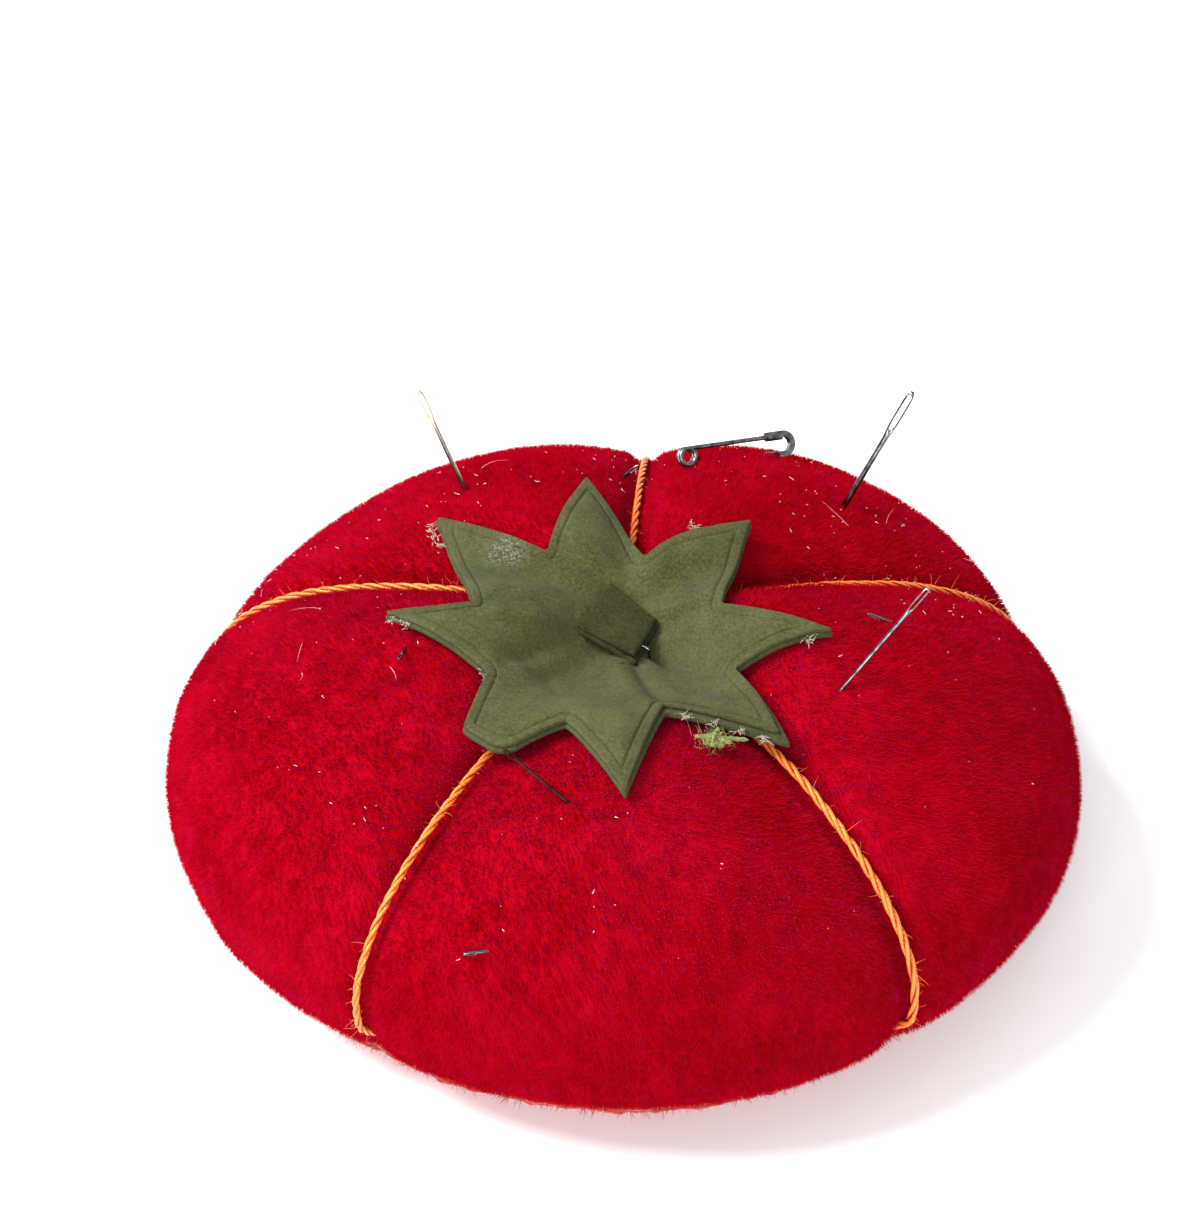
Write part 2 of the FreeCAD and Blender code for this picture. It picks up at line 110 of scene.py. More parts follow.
# Leaf: its corners in plan, each with how far the edge after it bows outwards
LEAF_CORNERS = ((13.2, -4.5, -0.2), (17.8, 13.0, -0.1), (2.8, 6.7, -0.1), (-5.6, 25.0, -0.1),
                (-10.8, 6.4, 0.0), (-26.8, 16.1, -0.2), (-20.3, -7.3, -0.4), (-32.2, -8.0, 0.1),
                (-18.0, -18.3, 0.1), (-20.7, -27.8, 0.0), (-16.7, -31.4, 0.3), (-13.7, -31.8, -0.2),
                (-7.4, -28.5, 0.1), (0.3, -41.5, 0.2), (5.2, -24.3, 0.0), (20.2, -28.5, 0.4),
                (14.8, -15.1, -0.2), (27.9, -11.8, -0.2))
BACKING_CORNERS = {14: (5.4, -25.8, 0.0), 15: (21.5, -29.7, 0.4)}  # where the lower layer shows
LEAF_MIDDLE = np.array((0.0, -11.0))
LEAF_GAP = 0.35
LEAF_CLOTH = 0.8
LEAF_RIM = 1.35  # the pressed line runs this far inside the edge
RIM_LINE = (0.30, 0.16)  # its depth and width
LEAF_PUFF = (0.30, 1.6)
RIM_STEPS = (0, 0.12, 0.3, 0.6, 0.9, 1.1, 1.25, 1.35, 1.45, 1.6, 1.85, 2.2)
WRINKLES = ((0.50, 6.5, 2.2), (0.20, 2.6, 4.1), (0.07, 1.1, 8.3))  # height, size, shift
LEAF_FOLDS = (((-6.5, -6.0), (-16.0, -16.0)), ((1.5, -10.5), (4.8, -22.0)), ((5.0, -3.5), (12.0, -4.2)),
              ((-2.5, 2.5), (-9.5, 6.0)), ((4.5, -7.5), (13.5, -14.5)), ((-7.0, -4.0), (-18.5, -6.8)))
DUST_PLACE = (-16.5, 6.5, 49.0)
DUST_REACH = 4.2
DUST_CORE = 0.5

# Folded square
PATCH_CORNERS = np.array(((-1.8, 2.1), (-6.2, -5.3), (1.4, -10.0), (4.3, -3.3)))
PATCH_CLOTH = 0.8

# Yarn
YARN_PLACE = (291.0, 32.6)
YARN_SPREAD = np.array((1.25, 0.65, 0.40))

# Needles: entry angle, distance, lean azimuth, lean, exposed, length, shaft, eye width, eye length
NEEDLES = {
    "gold_eye_needle": (132.0, 35.1, 155, 25, 15.8, 39.0, 0.73, 1.05, 5.6),
    "tapestry_needle": (38.5, 41.0, 21, 29, 19.2, 40.0, 0.88, 1.35, 8.3),
    "crewel_needle": (327.0, 34.7, 20, 40, 17.0, 36.0, 0.52, 0.86, 5.0),
    "sharps_needle": (260.5, 41.5, 155, 59, 10.5, 33.0, 0.50, 0.72, 2.4),
    "right_buried_needle": (350.5, 35.8, 190, 62, 3.2, 24.0, 0.45, 0.62, 2.6),
    "front_buried_needle": (253.0, 58.3, 199, 84, 2.7, 28.0, 0.55, 0.80, 2.2),
    "left_buried_needle": (206.5, 32.6, 262, 74, 3.0, 20.0, 0.50, 0.70, 2.2),
    "back_buried_needle": (89.5, 36.8, 5, 48, 2.3, 30.0, 0.50, 0.70, 2.2),
}

# Safety pin
PIN_WIRE = 0.7
PIN_COIL = 1.2
PIN_LENGTH = 19.5
PIN_COIL_PLACE = (75.5, 35.4)
PIN_CLASP_PLACE = (60.0, 48.6)
PIN_LIFT = 0.6
PIN_LEAN = 33.0
PIN_END = PIN_LENGTH - PIN_COIL - PIN_WIRE / 2

# Camera, in metres
CAMERA_PLACE = (0, -0.29530, 0.26526)
CAMERA_AIM = (-0.009035, 0.799419, -0.600706)
CAMERA_LENS = 79.75

random = np.random.default_rng(20)


# -------- cushion surface

def bell(distance, width):
    """1 at no distance, falling smoothly to almost 0 at twice the width."""
    return np.exp(-(distance / width) ** 2)


def angles_around(count):
    """Angles spread evenly around the cushion."""
    return np.arange(count) * (360 / count)


def fullness(share, rounding):
    """0 in a groove and 1 at the middle of a lobe."""
    wave = np.sin(np.pi * share)
    low = rounding ** LOBE_POWER
    high = (1 + rounding ** 2) ** (LOBE_POWER / 2)
    return ((wave ** 2 + rounding ** 2) ** (LOBE_POWER / 2) - low) / (high - low)


def lobe_at(angle):
    angle = np.asarray(angle, float) % 360
    lobe = (np.searchsorted(SEAMS, angle, side="right") - 1) % 5
    return lobe, ((angle - SEAMS[lobe]) % 360) / WIDTHS[lobe]


def waist_radius(angle, lie=VELVET_LIE):
    lobe, share = lobe_at(angle)
    bulge = 1 + (LOBE_SHARES[lobe] - 1) * np.sin(np.pi * share)
    return REACH * (1 - GROOVE_PULL * lie[0] * (1 - fullness(share, lie[1]))) * bulge


def skin(angle, level, lie=VELVET_LIE):
    """Points of the velvet's surface: level is 1 at the tie, 0 at the waist, -1 at the base rim."""
    angle, level = np.broadcast_arrays(np.asarray(angle, float), np.asarray(level, float))
    share = lobe_at(angle)[1]
    hollow = lie[0] * (1 - fullness(share, lie[1]))
    waist = waist_radius(angle, lie)
    climb = np.radians(90 * np.abs(level))
    side = np.maximum(np.cos(climb), 1e-9)
    rise_share = np.sin(climb)
    upper = waist * side ** CROWN_POWER
    loose = 1 - bell(upper, TIE_BLEND)
    drop = GROOVE_DROP * (hollow * loose + TIED_SHARE * (1 - loose))
    rise = CROWN_HEIGHT * (1 - drop) - WAIST_HEIGHT
    top = WAIST_HEIGHT + rise * rise_share ** SHOULDER_POWER
    turn = np.radians(angle)
    away = np.hypot(upper * np.cos(turn) - DIMPLE_MIDDLE[0], upper * np.sin(turn) - DIMPLE_MIDDLE[1])
    top = top - DIMPLE_DEPTH * bell(away, DIMPLE_SPREAD)
    lower = waist * (BASE_SHARE + (1 - BASE_SHARE) * side ** BELLY_POWER)
    bottom = WAIST_HEIGHT * (1 - rise_share ** HEEL_POWER)
    radius = np.where(level < 0, lower, upper)
    height = np.where(level < 0, bottom, top)
    return np.stack([radius * np.cos(turn), radius * np.sin(turn), height], -1)


def unit(vectors):
    return vectors / np.maximum(np.linalg.norm(vectors, axis=-1, keepdims=True), 1e-12)


def skin_normal(angle, level, lie=VELVET_LIE):
    angle, level = np.broadcast_arrays(np.asarray(angle, float), np.asarray(level, float))
    around = skin(angle + 0.3, level, lie) - skin(angle - 0.3, level, lie)
    lower = skin(angle, np.maximum(level - 0.004, -1), lie)
    upper = skin(angle, np.minimum(level + 0.004, 0.996), lie)
    return unit(np.cross(lower - upper, around))


def level_at(angle, distance, lie=VELVET_LIE):
    """The level of the upper surface at a distance from the tie, in plan."""
    share = np.clip(distance / waist_radius(angle, lie), 0, 1)
    return np.degrees(np.arccos(share ** (1 / CROWN_POWER))) / 90


def skin_spot(angle, distance, lie=VELVET_LIE):
    return skin(angle, level_at(angle, distance, lie), lie)


def skin_height(x, y, lie=VELVET_LIE):
    angle = np.degrees(np.arctan2(y, x)) % 360
    return skin_spot(angle, np.hypot(x, y), lie)[..., 2]


SEAM_LEVEL = -math.degrees(math.asin((1 - SEAM_HEIGHT / WAIST_HEIGHT) ** (1 / HEEL_POWER))) / 90


# -------- mesh helpers

NOISE_CELLS = 32
NOISE_TABLE = random.random((NOISE_CELLS, NOISE_CELLS, NOISE_CELLS)) * 2 - 1


def eased(part):
    """A share from 0 to 1 that is slow at both ends."""
    return part * part * (3 - 2 * part)


def noise(points, size, shift=0.0):
    """Smooth noise from -1 to 1 whose bumps are about size across."""
    grid = np.asarray(points) / size + shift
    cell = np.floor(grid).astype(int)
    part = eased(grid - cell)
    total = 0.0
    for corner in np.ndindex(2, 2, 2):
        x, y, z = [(cell[..., i] + corner[i]) % NOISE_CELLS for i in range(3)]
        weight = 1.0
        for i in range(3):
            weight = weight * (part[..., i] if corner[i] else 1 - part[..., i])
        total = total + NOISE_TABLE[x, y, z] * weight
    return total


def layered_noise(points, layers):
    return sum(height * noise(points, size, shift) for height, size, shift in layers)


def lengths_along(points):
    return np.concatenate([[0], np.cumsum(np.linalg.norm(np.diff(points, axis=0), axis=1))])


def make_object(name, points, faces, materials, smooth=True, face_materials=None):
    """A mesh object from points in millimetres and a list of face index arrays."""
    mesh = bpy.data.meshes.new(name)
    points = np.asarray(points, float).reshape(-1, 3) * MM
    faces = [np.asarray(group, int) for group in faces if len(group)]
    sizes = np.concatenate([np.full(len(group), group.shape[1]) for group in faces])
    corners = np.concatenate([group.ravel() for group in faces])
    mesh.vertices.add(len(points))
    mesh.vertices.foreach_set("co", points.ravel())
    mesh.loops.add(len(corners))
    mesh.loops.foreach_set("vertex_index", corners)
    mesh.polygons.add(len(sizes))
    mesh.polygons.foreach_set("loop_start", np.concatenate([[0], np.cumsum(sizes)[:-1]]))
    mesh.polygons.foreach_set("loop_total", sizes)
    mesh.polygons.foreach_set("use_smooth", np.full(len(sizes), smooth))
    for material in materials:
        mesh.materials.append(material)
    if face_materials is not None:
        mesh.polygons.foreach_set("material_index", face_materials)
    mesh.update(calc_edges=True)
    mesh.validate()
    thing = bpy.data.objects.new(name, mesh)
    bpy.context.scene.collection.objects.link(thing)
    return thing


def grid_faces(rows, columns, closed, start=0):
    """Quads of a grid stored row by row; closed joins its last column to its first."""
    across = columns if closed else columns - 1
    row, column = np.meshgrid(np.arange(rows - 1), np.arange(across), indexing="ij")
    here = row * columns + column
    right = row * columns + (column + 1) % columns
    quads = np.stack([here, right, right + columns, here + columns], -1).reshape(-1, 4)
    return quads + start


def fan_caps(rows, columns):
    """Triangles that close a closed grid's first and last rows on two points stored after it."""
    column = np.arange(columns)
    after = (column + 1) % columns
    last = (rows - 1) * columns
    centre = np.full(columns, rows * columns)
    first_cap = np.stack([after, column, centre], -1)
    return np.concatenate([first_cap, np.stack([last + column, last + after, centre + 1], -1)])


def shell_between(outer, inner):
    """A closed shell from two grids of the same size, each closed around."""
    rows, columns = outer.shape[:2]
    count = rows * columns
    quads = [grid_faces(rows, columns, True), grid_faces(rows, columns, True, count)[:, ::-1]]
    column = np.arange(columns)
    after = (column + 1) % columns
    for row, flip in ((0, False), (rows - 1, True)):
        a = row * columns + column
        b = row * columns + after
        rim = np.stack([a, a + count, b + count, b], -1)
        quads.append(rim[:, ::-1] if flip else rim)
    return np.concatenate([outer.reshape(-1, 3), inner.reshape(-1, 3)]), np.concatenate(quads)


def strand_mesh(paths, radii, sides, turn=0.0):
    """Closed tubes along paths, an array of (strand, station, xyz), with a radius at each station."""
    paths = np.asarray(paths, float)
    strands, stations = paths.shape[:2]
    radii = np.broadcast_to(radii, (strands, stations))
    along = unit(np.gradient(paths, axis=1))
    helper = np.where(np.abs(along[:, :1, 2:]) < 0.9, np.array([0.0, 0, 1]), np.array([1.0, 0, 0]))
    side = unit(np.cross(along[:, 0], helper[:, 0]))
    sections = []
    for station in range(stations):
        direction = along[:, station]
        side = unit(side - direction * np.sum(side * direction, -1, keepdims=True))
        other = np.cross(direction, side)
        angle = 2 * np.pi * np.arange(sides) / sides + turn
        ring = side[:, None] * np.cos(angle)[None, :, None] + other[:, None] * np.sin(angle)[None, :, None]
        sections.append(paths[:, station, None] + ring * radii[:, station, None, None])
    rings = np.stack(sections, 1).reshape(strands, stations * sides, 3)
    points = np.concatenate([rings, paths[:, :1], paths[:, -1:]], 1)
    per_strand = stations * sides + 2
    quads = grid_faces(stations, sides, True)
    offsets = (np.arange(strands) * per_strand)[:, None, None]
    quads = (quads[None] + offsets).reshape(-1, 4)
    triangles = (fan_caps(stations, sides)[None] + offsets).reshape(-1, 3)
    return points.reshape(-1, 3), quads, triangles


def joined(pieces):
    """Joins (points, quads, triangles) groups into one."""
    points = []
    quads = []
    triangles = []
    start = 0
    for some_points, some_quads, some_triangles in pieces:
        points.append(some_points)
        quads.append(np.asarray(some_quads, int).reshape(-1, 4) + start)
        triangles.append(np.asarray(some_triangles, int).reshape(-1, 3) + start)
        start += len(some_points)
    return np.concatenate(points), np.concatenate(quads), np.concatenate(triangles)


def stands_for(piece, body, node):
    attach(piece, body)
    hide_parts(node)


def joined_piece(name, groups, material, node):
    """One piece of the cushion from (points, quads, triangles) groups."""
    points, quads, triangles = joined(groups)
    piece = make_object(name, points, [quads, triangles], [material])
    stands_for(piece, "cushion", node)
    return piece


def fibres(roots, directions, lengths, radius, curl, stations=5, sides=3):
    """Short curved threads that start at their roots and taper to their ends."""
    count = len(roots)
    bend = unit(random.normal(size=(count, 3)))
    share = np.linspace(0, 1, stations)[None, :, None]
    lengths = np.broadcast_to(lengths, (count,))[:, None, None]
    paths = roots[:, None] + lengths * (directions[:, None] * share + bend[:, None] * curl * share ** 2)
    radii = radius * (1 - 0.7 * np.linspace(0, 1, stations) ** 2)
    return strand_mesh(paths, radii[None], sides)


# -------- materials

class Shader:
    """A Principled material that is put together from object-space noises."""

    def __init__(self, name, **values):
        self.material = bpy.data.materials.new(name)
        self.material.use_nodes = True
        self.tree = self.material.node_tree
        self.surface = self.tree.nodes["Principled BSDF"]
        for socket, value in values.items():
            self.surface.inputs[socket.replace("_", " ")].default_value = value
        coordinates = self.tree.nodes.new("ShaderNodeTexCoord")
        self.place = coordinates.outputs["Object"]

    def node(self, kind, **settings):
        made = self.tree.nodes.new(kind)
        for name, value in settings.items():
            setattr(made, name, value)
        return made

    def link(self, output, target):
        self.tree.links.new(output, target)

    def noise(self, size, detail=3.0, roughness=0.5, stretch=(1, 1, 1)):
        """Noise with bumps about size millimetres across."""
        mapping = self.node("ShaderNodeMapping")
        mapping.inputs["Scale"].default_value = stretch
        self.link(self.place, mapping.inputs["Vector"])
        made = self.node("ShaderNodeTexNoise")
        made.inputs["Scale"].default_value = 1 / (size * MM)
        made.inputs["Detail"].default_value = detail
        made.inputs["Roughness"].default_value = roughness
        self.link(mapping.outputs["Vector"], made.inputs["Vector"])
        return made.outputs["Fac"]

    def ramp(self, value, *stops):
        """Colours at places along a value from 0 to 1."""
        made = self.node("ShaderNodeValToRGB")
        ramp = made.color_ramp
        for place, colour in stops[1:-1]:
            ramp.elements.new(place)
        for element, (place, colour) in zip(ramp.elements, stops):
            element.position = place
            element.color = (*colour, 1)
        self.link(value, made.inputs["Fac"])
        return made.outputs["Color"]

    def mix(self, share, first, second):
        made = self.node("ShaderNodeMix", data_type="RGBA")
        for value, socket in ((share, made.inputs[0]), (first, made.inputs[6]), (second, made.inputs[7])):
            if isinstance(value, bpy.types.NodeSocket):
                self.link(value, socket)
            elif isinstance(value, tuple):
                socket.default_value = (*value, 1)
            else:
                socket.default_value = value
        return made.outputs[2]

    def colour(self, output):
        self.link(output, self.surface.inputs["Base Color"])

    def roughness(self, value, low, high):
        made = self.node("ShaderNodeMapRange")
        made.inputs["To Min"].default_value = low
        made.inputs["To Max"].default_value = high
        self.link(value, made.inputs["Value"])
        self.link(made.outputs["Result"], self.surface.inputs["Roughness"])

    def bump(self, value, depth, strength=1.0):
        """Depth is in millimetres."""
        made = self.node("ShaderNodeBump")
        made.inputs["Distance"].default_value = depth * MM
        made.inputs["Strength"].default_value = strength
        self.link(value, made.inputs["Height"])
        self.link(made.outputs["Normal"], self.surface.inputs["Normal"])


def velvet_shader(name, lift=1.0):
    shader = Shader(name, Roughness=1.0, Specular_IOR_Level=0.0, Sheen_Weight=0.60, Sheen_Roughness=0.28,
                    Sheen_Tint=(1.0, 0.03, 0.40, 1))
    patches = shader.noise(14.0, 3.0)
    tufts = shader.noise(2.2, 4.0, 0.6, (1, 1, 0.5))
    broad = shader.ramp(patches, (0.35, (0.230 * lift, 0.0002, 0.001)), (0.65, (0.310 * lift, 0.0006, 0.006)))
    fine = shader.ramp(tufts, (0.34, (0.180 * lift, 0.0002, 0.001)), (0.66, (0.370 * lift, 0.0010, 0.008)))
    shader.colour(shader.mix(0.4, broad, fine))
    shader.bump(shader.noise(0.35, 2.0), 0.12)
    return shader.material


def cord_shader(name, low, high):
    shader = Shader(name, Roughness=0.30, Specular_IOR_Level=0.75, Specular_Tint=(1.0, 0.78, 0.40, 1))
    filaments = shader.noise(0.14, 2.0)
    along = shader.ramp(shader.noise(3.0, 2.0), (0.4, (0, 0, 0)), (0.7, (0.6, 0.6, 0.6)))
    base = shader.ramp(filaments, (0.30, low), (0.70, high))
    shader.colour(shader.mix(along, base, tuple((a + b) / 2 for a, b in zip(low, high))))
    shader.bump(filaments, 0.05)
    return shader.material


def leaf_shader(name, shade=1.0, dusty=False):
    shader = Shader(name, Roughness=1.0, Specular_IOR_Level=0.02, Sheen_Weight=0.06, Sheen_Roughness=0.5)

    def tone(*colour):
        return tuple(shade * c for c in colour)

    grain = shader.noise(0.45, 5.0, 0.85)
    patches = shader.noise(5.0, 4.0, 0.6)
    fine = shader.ramp(grain, (0.36, tone(0.010, 0.013, 0.004)), (0.64, tone(0.112, 0.114, 0.040)))
    broad = shader.ramp(patches, (0.32, tone(0.024, 0.032, 0.009)), (0.68, tone(0.070, 0.067, 0.020)))
    colour = shader.mix(0.5, broad, fine)
    specks = shader.ramp(shader.noise(0.20, 2.0, 0.6), (0.68, (0, 0, 0)), (0.76, (0.4, 0.4, 0.4)))
    colour = shader.mix(specks, colour, (0.26, 0.26, 0.21))
    if dusty:
        away = shader.node("ShaderNodeVectorMath", operation="DISTANCE")
        away.inputs[1].default_value = [c * MM for c in DUST_PLACE]
        shader.link(shader.place, away.inputs[0])
        near = shader.node("ShaderNodeMapRange")
        near.inputs["From Min"].default_value = DUST_REACH * MM
        near.inputs["From Max"].default_value = DUST_CORE * MM
        shader.link(away.outputs["Value"], near.inputs["Value"])
        dust = shader.ramp(shader.noise(0.35, 5.0, 0.8), (0.50, (0, 0, 0)), (0.60, (0.9, 0.9, 0.9)))
        share = shader.node("ShaderNodeMath", operation="MULTIPLY")
        shader.link(near.outputs["Result"], share.inputs[0])
        shader.link(dust, share.inputs[1])
        colour = shader.mix(share.outputs["Value"], colour, (0.27, 0.26, 0.23))
    shader.colour(colour)
    shader.bump(grain, 0.35)
    return shader.material


def cloth_shader(name, dark, pale, weave=0.5):
    shader = Shader(name, Roughness=0.9, Specular_IOR_Level=0.15, Sheen_Weight=0.2)
    warp = shader.noise(weave, 1.0, 0.5, (1, 0.15, 1))
    weft = shader.noise(weave, 1.0, 0.5, (0.15, 1, 1))
    threads = shader.mix(0.5, warp, weft)
    patches = shader.noise(9.0, 3.0)
    base = shader.ramp(threads, (0.3, dark), (0.7, pale))
    shader.colour(shader.mix(patches, base, tuple((a + b) / 2 for a, b in zip(dark, pale))))
    shader.bump(threads, 0.15)
    return shader.material


def fluff_shader(name, dark, pale, size=0.6):
    shader = Shader(name, Roughness=0.85, Specular_IOR_Level=0.2, Sheen_Weight=0.3)
    shader.colour(shader.ramp(shader.noise(size, 3.0), (0.3, dark), (0.7, pale)))
    return shader.material


def metal_shader(name, colour, roughness, stain_and_reflection, metallic=1.0):
    shader = Shader(name, Metallic=metallic)
    # Two colours mottled by noise: wear and stains on most of the metals, a painted red reflection on the
    # sharps needle.
    wear_and_reflection = shader.noise(1.2, 5.0, 0.6)
    shader.colour(shader.ramp(wear_and_reflection, (0.35, stain_and_reflection), (0.60, colour)))
    shader.roughness(shader.noise(0.5, 4.0), roughness * 0.7, roughness * 1.4)
    shader.bump(shader.noise(0.25, 2.0), 0.004)
    return shader.material


VELVET = velvet_shader("red_velvet_pile", 0.88)
GROUND = velvet_shader("red_velvet_ground", 0.7)
ORANGE = cord_shader("orange_rayon", (0.40, 0.036, 0.004), (0.82, 0.235, 0.035))
# Painted shade: a darker orange for the cord faces in the gaps between the plies.
GAP_SHADE_ORANGE = cord_shader("orange_rayon_between_plies", (0.24, 0.006, 0.001), (0.40, 0.022, 0.003))
LEAF_TOP = leaf_shader("leaf_velour_top", 0.9, True)
LEAF_BACK = leaf_shader("leaf_velour_backing", 0.8)
UNDERSIDE = cloth_shader("red_underside_cloth", (0.30, 0.010, 0.015), (0.55, 0.03, 0.04))
FRAYED = fluff_shader("frayed_edge_threads", (0.24, 0.005, 0.007), (0.46, 0.07, 0.05))
STUFFING = fluff_shader("packed_wadding", (0.55, 0.50, 0.42), (0.85, 0.80, 0.70), 2.0)
THREAD = fluff_shader("waxed_thread", (0.45, 0.38, 0.26), (0.75, 0.68, 0.52))
LINT = fluff_shader("white_lint", (0.36, 0.26, 0.28), (0.62, 0.50, 0.52))
GLUE = fluff_shader("dried_glue", (0.10, 0.085, 0.06), (0.32, 0.27, 0.22), 0.4)
YARN = fluff_shader("green_yarn_plies", (0.035, 0.050, 0.005), (0.20, 0.22, 0.04), 0.5)
STEEL = metal_shader("polished_needle_steel", (0.17, 0.17, 0.18), 0.16, (0.05, 0.05, 0.055))
# The sharps needle's colour is a painted reflection: dark steel tinted with the red of the velvet it mirrors.
RED_REFLECTION_STEEL = metal_shader("needle_steel_painted_red_reflection", (0.050, 0.010, 0.012), 0.40, (0.02, 0.005, 0.005))
PALE_STEEL = metal_shader("bright_needle_steel", (0.42, 0.39, 0.33), 0.18, (0.24, 0.22, 0.18))
GILT = metal_shader("gilt_needle_eye", (0.60, 0.52, 0.30), 0.18, (0.40, 0.33, 0.17))
PIN_STEEL = metal_shader("tarnished_pin_steel", (0.20, 0.20, 0.22), 0.28, (0.05, 0.05, 0.06))


# -------- velvet

def even_levels(rows):
    """Levels from the tie to the seam, evenly spaced along the surface."""
    angle = SEAMS[0] + WIDTHS[0] / 2
    fine = np.linspace(level_at(angle, NEAR_TIE), SEAM_LEVEL, 800)
    spots = skin(angle, fine)
    length = lengths_along(spots)
    return np.interp(np.linspace(0, length[-1], rows), length, fine)


def grid_angles(per_lobe):
    """Columns around the cushion, closer together in the grooves."""
    share = np.arange(per_lobe) / per_lobe
    share = EVEN_COLUMNS * share + (1 - EVEN_COLUMNS) * (1 - np.cos(np.pi * share)) / 2
    return np.concatenate([start + width * share for start, width in zip(SEAMS, WIDTHS)])


def from_segment(points, start, end):
    """Distance of points from a straight line between two ends."""
    run = np.asarray(end) - np.asarray(start)
    share = np.clip(((points - start) @ run) / (run @ run), 0, 1)
    return np.linalg.norm(points - start - share[..., None] * run, axis=-1)


def raised_over_metal(points):
    """The velvet is drawn in around steep needles and lifted over what lies just under it."""
    rise = np.zeros(points.shape[:-1])
    for name, (angle, distance, _, lean, *_) in NEEDLES.items():
        entry = skin_spot(angle, distance)
        if lean < SHALLOW_LEAN:
            rise -= PUCKER[0] * bell(np.linalg.norm(points - entry, axis=-1), PUCKER[1])
        else:
            inward = -np.array(needle_matrix(name))[:3, 2]
            start, end = [entry + inward * run for run in NEEDLE_RIDGE_RUN]
            rise += NEEDLE_RIDGE[0] * bell(from_segment(points, start, end), NEEDLE_RIDGE[1])
    start = in_pin_frame([PIN_RIDGE_ENDS[0], 0, -PIN_COIL])
    end = in_pin_frame([PIN_END - PIN_RIDGE_ENDS[1], 0, -PIN_COIL])
    return rise + PIN_RIDGE[0] * bell(from_segment(points, start, end), PIN_RIDGE[1])


def crease(angles, points):
    """How deep the groove's sharp bottom is pressed in, by the distance from the seam."""
    lobe, share = lobe_at(angles)
    out = np.hypot(points[..., 0], points[..., 1])
    away = np.minimum(share, 1 - share) * np.radians(WIDTHS[lobe]) * out
    return CREASE_DEPTH * (1 - np.exp(-(out / CREASE_FADE) ** 4)) * bell(away, CREASE_WIDTH)


def velvet_grid():
    angles, levels = np.meshgrid(grid_angles(COLUMNS_PER_LOBE), even_levels(VELVET_ROWS))
    points = skin(angles, levels)
    normals = skin_normal(angles, levels)
    rise = layered_noise(points, LUMPS) + raised_over_metal(points) - crease(angles, points)
    points = points + normals * rise[..., None]
    across = np.roll(points, -1, axis=1) - np.roll(points, 1, axis=1)
    down = np.gradient(points, axis=0)
    return points, unit(np.cross(down, across))


def velvet_ground(points, normals):
    outer = points - normals * BACKING_SINK
    inner = points - normals * (BACKING_SINK + BACKING_THICKNESS)
    shell, quads = shell_between(outer, inner)
    piece = make_object("velvet_cloth", shell, [quads], [GROUND])
    stands_for(piece, "cushion", "velvet_cover")


def sample_cells(points, normals, count):
    """Random places spread evenly over a grid's area: point, normal and downward direction."""
    across = np.linalg.norm(points[:-1, 1:] - points[:-1, :-1], axis=-1)
    down = np.linalg.norm(points[1:, :-1] - points[:-1, :-1], axis=-1)
    area = (across * down).ravel()
    chosen = random.choice(len(area), count, p=area / area.sum())
    row, column = np.unravel_index(chosen, across.shape)
    u = random.random(count)[:, None]
    v = random.random(count)[:, None]

    def between(grid):
        top = grid[row, column] * (1 - u) + grid[row, column + 1] * u
        bottom = grid[row + 1, column] * (1 - u) + grid[row + 1, column + 1] * u
        return top * (1 - v) + bottom * v

    nap = unit(points[row + 1, column] - points[row, column])
    return between(points), unit(between(normals)), nap


def pile_piece(lobe, points, normals):
    """The pile of one lobe: closed pointed tufts that lean down the nap."""
    first = lobe * COLUMNS_PER_LOBE
    columns = np.arange(first, first + COLUMNS_PER_LOBE + 1) % (5 * COLUMNS_PER_LOBE)
    roots, up, nap = sample_cells(points[:, columns], normals[:, columns], PILE_PER_LOBE)
    across = np.cross(nap, up)
    swirl = noise(roots, 9.0, 1.7)[:, None]
    tuft = noise(roots, 1.5, 5.1)[:, None]
    sideways = SWIRL_LEAN * swirl + SIDE_LEAN * noise(roots, 2.2, 9.4)[:, None]
    lean = nap * (NAP_LEAN + TUFT_LEAN * tuft) + across * sideways
    direction = unit(up + lean + random.normal(0, PILE_SCATTER, roots.shape))
    length = PILE_LENGTH * (0.85 + 0.18 * tuft + 0.15 * random.random((len(roots), 1)))
    roots = roots - up * (BACKING_SINK + 0.08)
    spin = random.random(len(roots))[:, None] * 2 * np.pi
    base = []
    for corner in range(3):
        turn = spin + corner * 2 * np.pi / 3
        base.append(roots + PILE_WIDTH * (nap * np.cos(turn) + across * np.sin(turn)))
    tips = roots + direction * length
    corners = np.stack(base + [tips], 1).reshape(-1, 3)
    start = np.arange(len(roots))[:, None] * 4
    faces = np.concatenate([start + order for order in ([0, 1, 3], [1, 2, 3], [2, 0, 3], [2, 1, 0])])
    piece = make_object("velvet_pile_" + str(lobe + 1), corners, [faces], [VELVET], smooth=False)
    stands_for(piece, "cushion", "velvet_cover")


def make_velvet():
    points, normals = velvet_grid()
    velvet_ground(points, normals)
    for lobe in range(5):
        pile_piece(lobe, points, normals)


def make_underside():
    """A gathered cloth dish from the base seam to the knot under the middle."""
    angles = angles_around(300)
    lower = np.linspace(SEAM_LEVEL, -1, 26)
    rim = skin(angles, -1.0)
    rings = [skin(angles, level) - skin_normal(angles, level) * 0.3 for level in lower]
    for share in np.linspace(0.96, 0.03, 40):
        ring = rim * share
        gather = bell(share, 0.35)
        ring[:, 2] = 0.05 + gather * (0.45 + 0.4 * np.sin(np.radians(angles * 26 + 40 * share)))
        rings.append(ring)
    outer = np.stack(rings)
    outer[..., 2] = np.maximum(outer[..., 2], 0.02)
    inner = outer * np.array([0.985, 0.985, 1.0]) + np.array([0, 0, 0.9])
    shell, quads = shell_between(outer, inner)
    piece = make_object("underside_gathered_cloth", shell, [quads], [UNDERSIDE])
    stands_for(piece, "cushion", "underside_cloth")


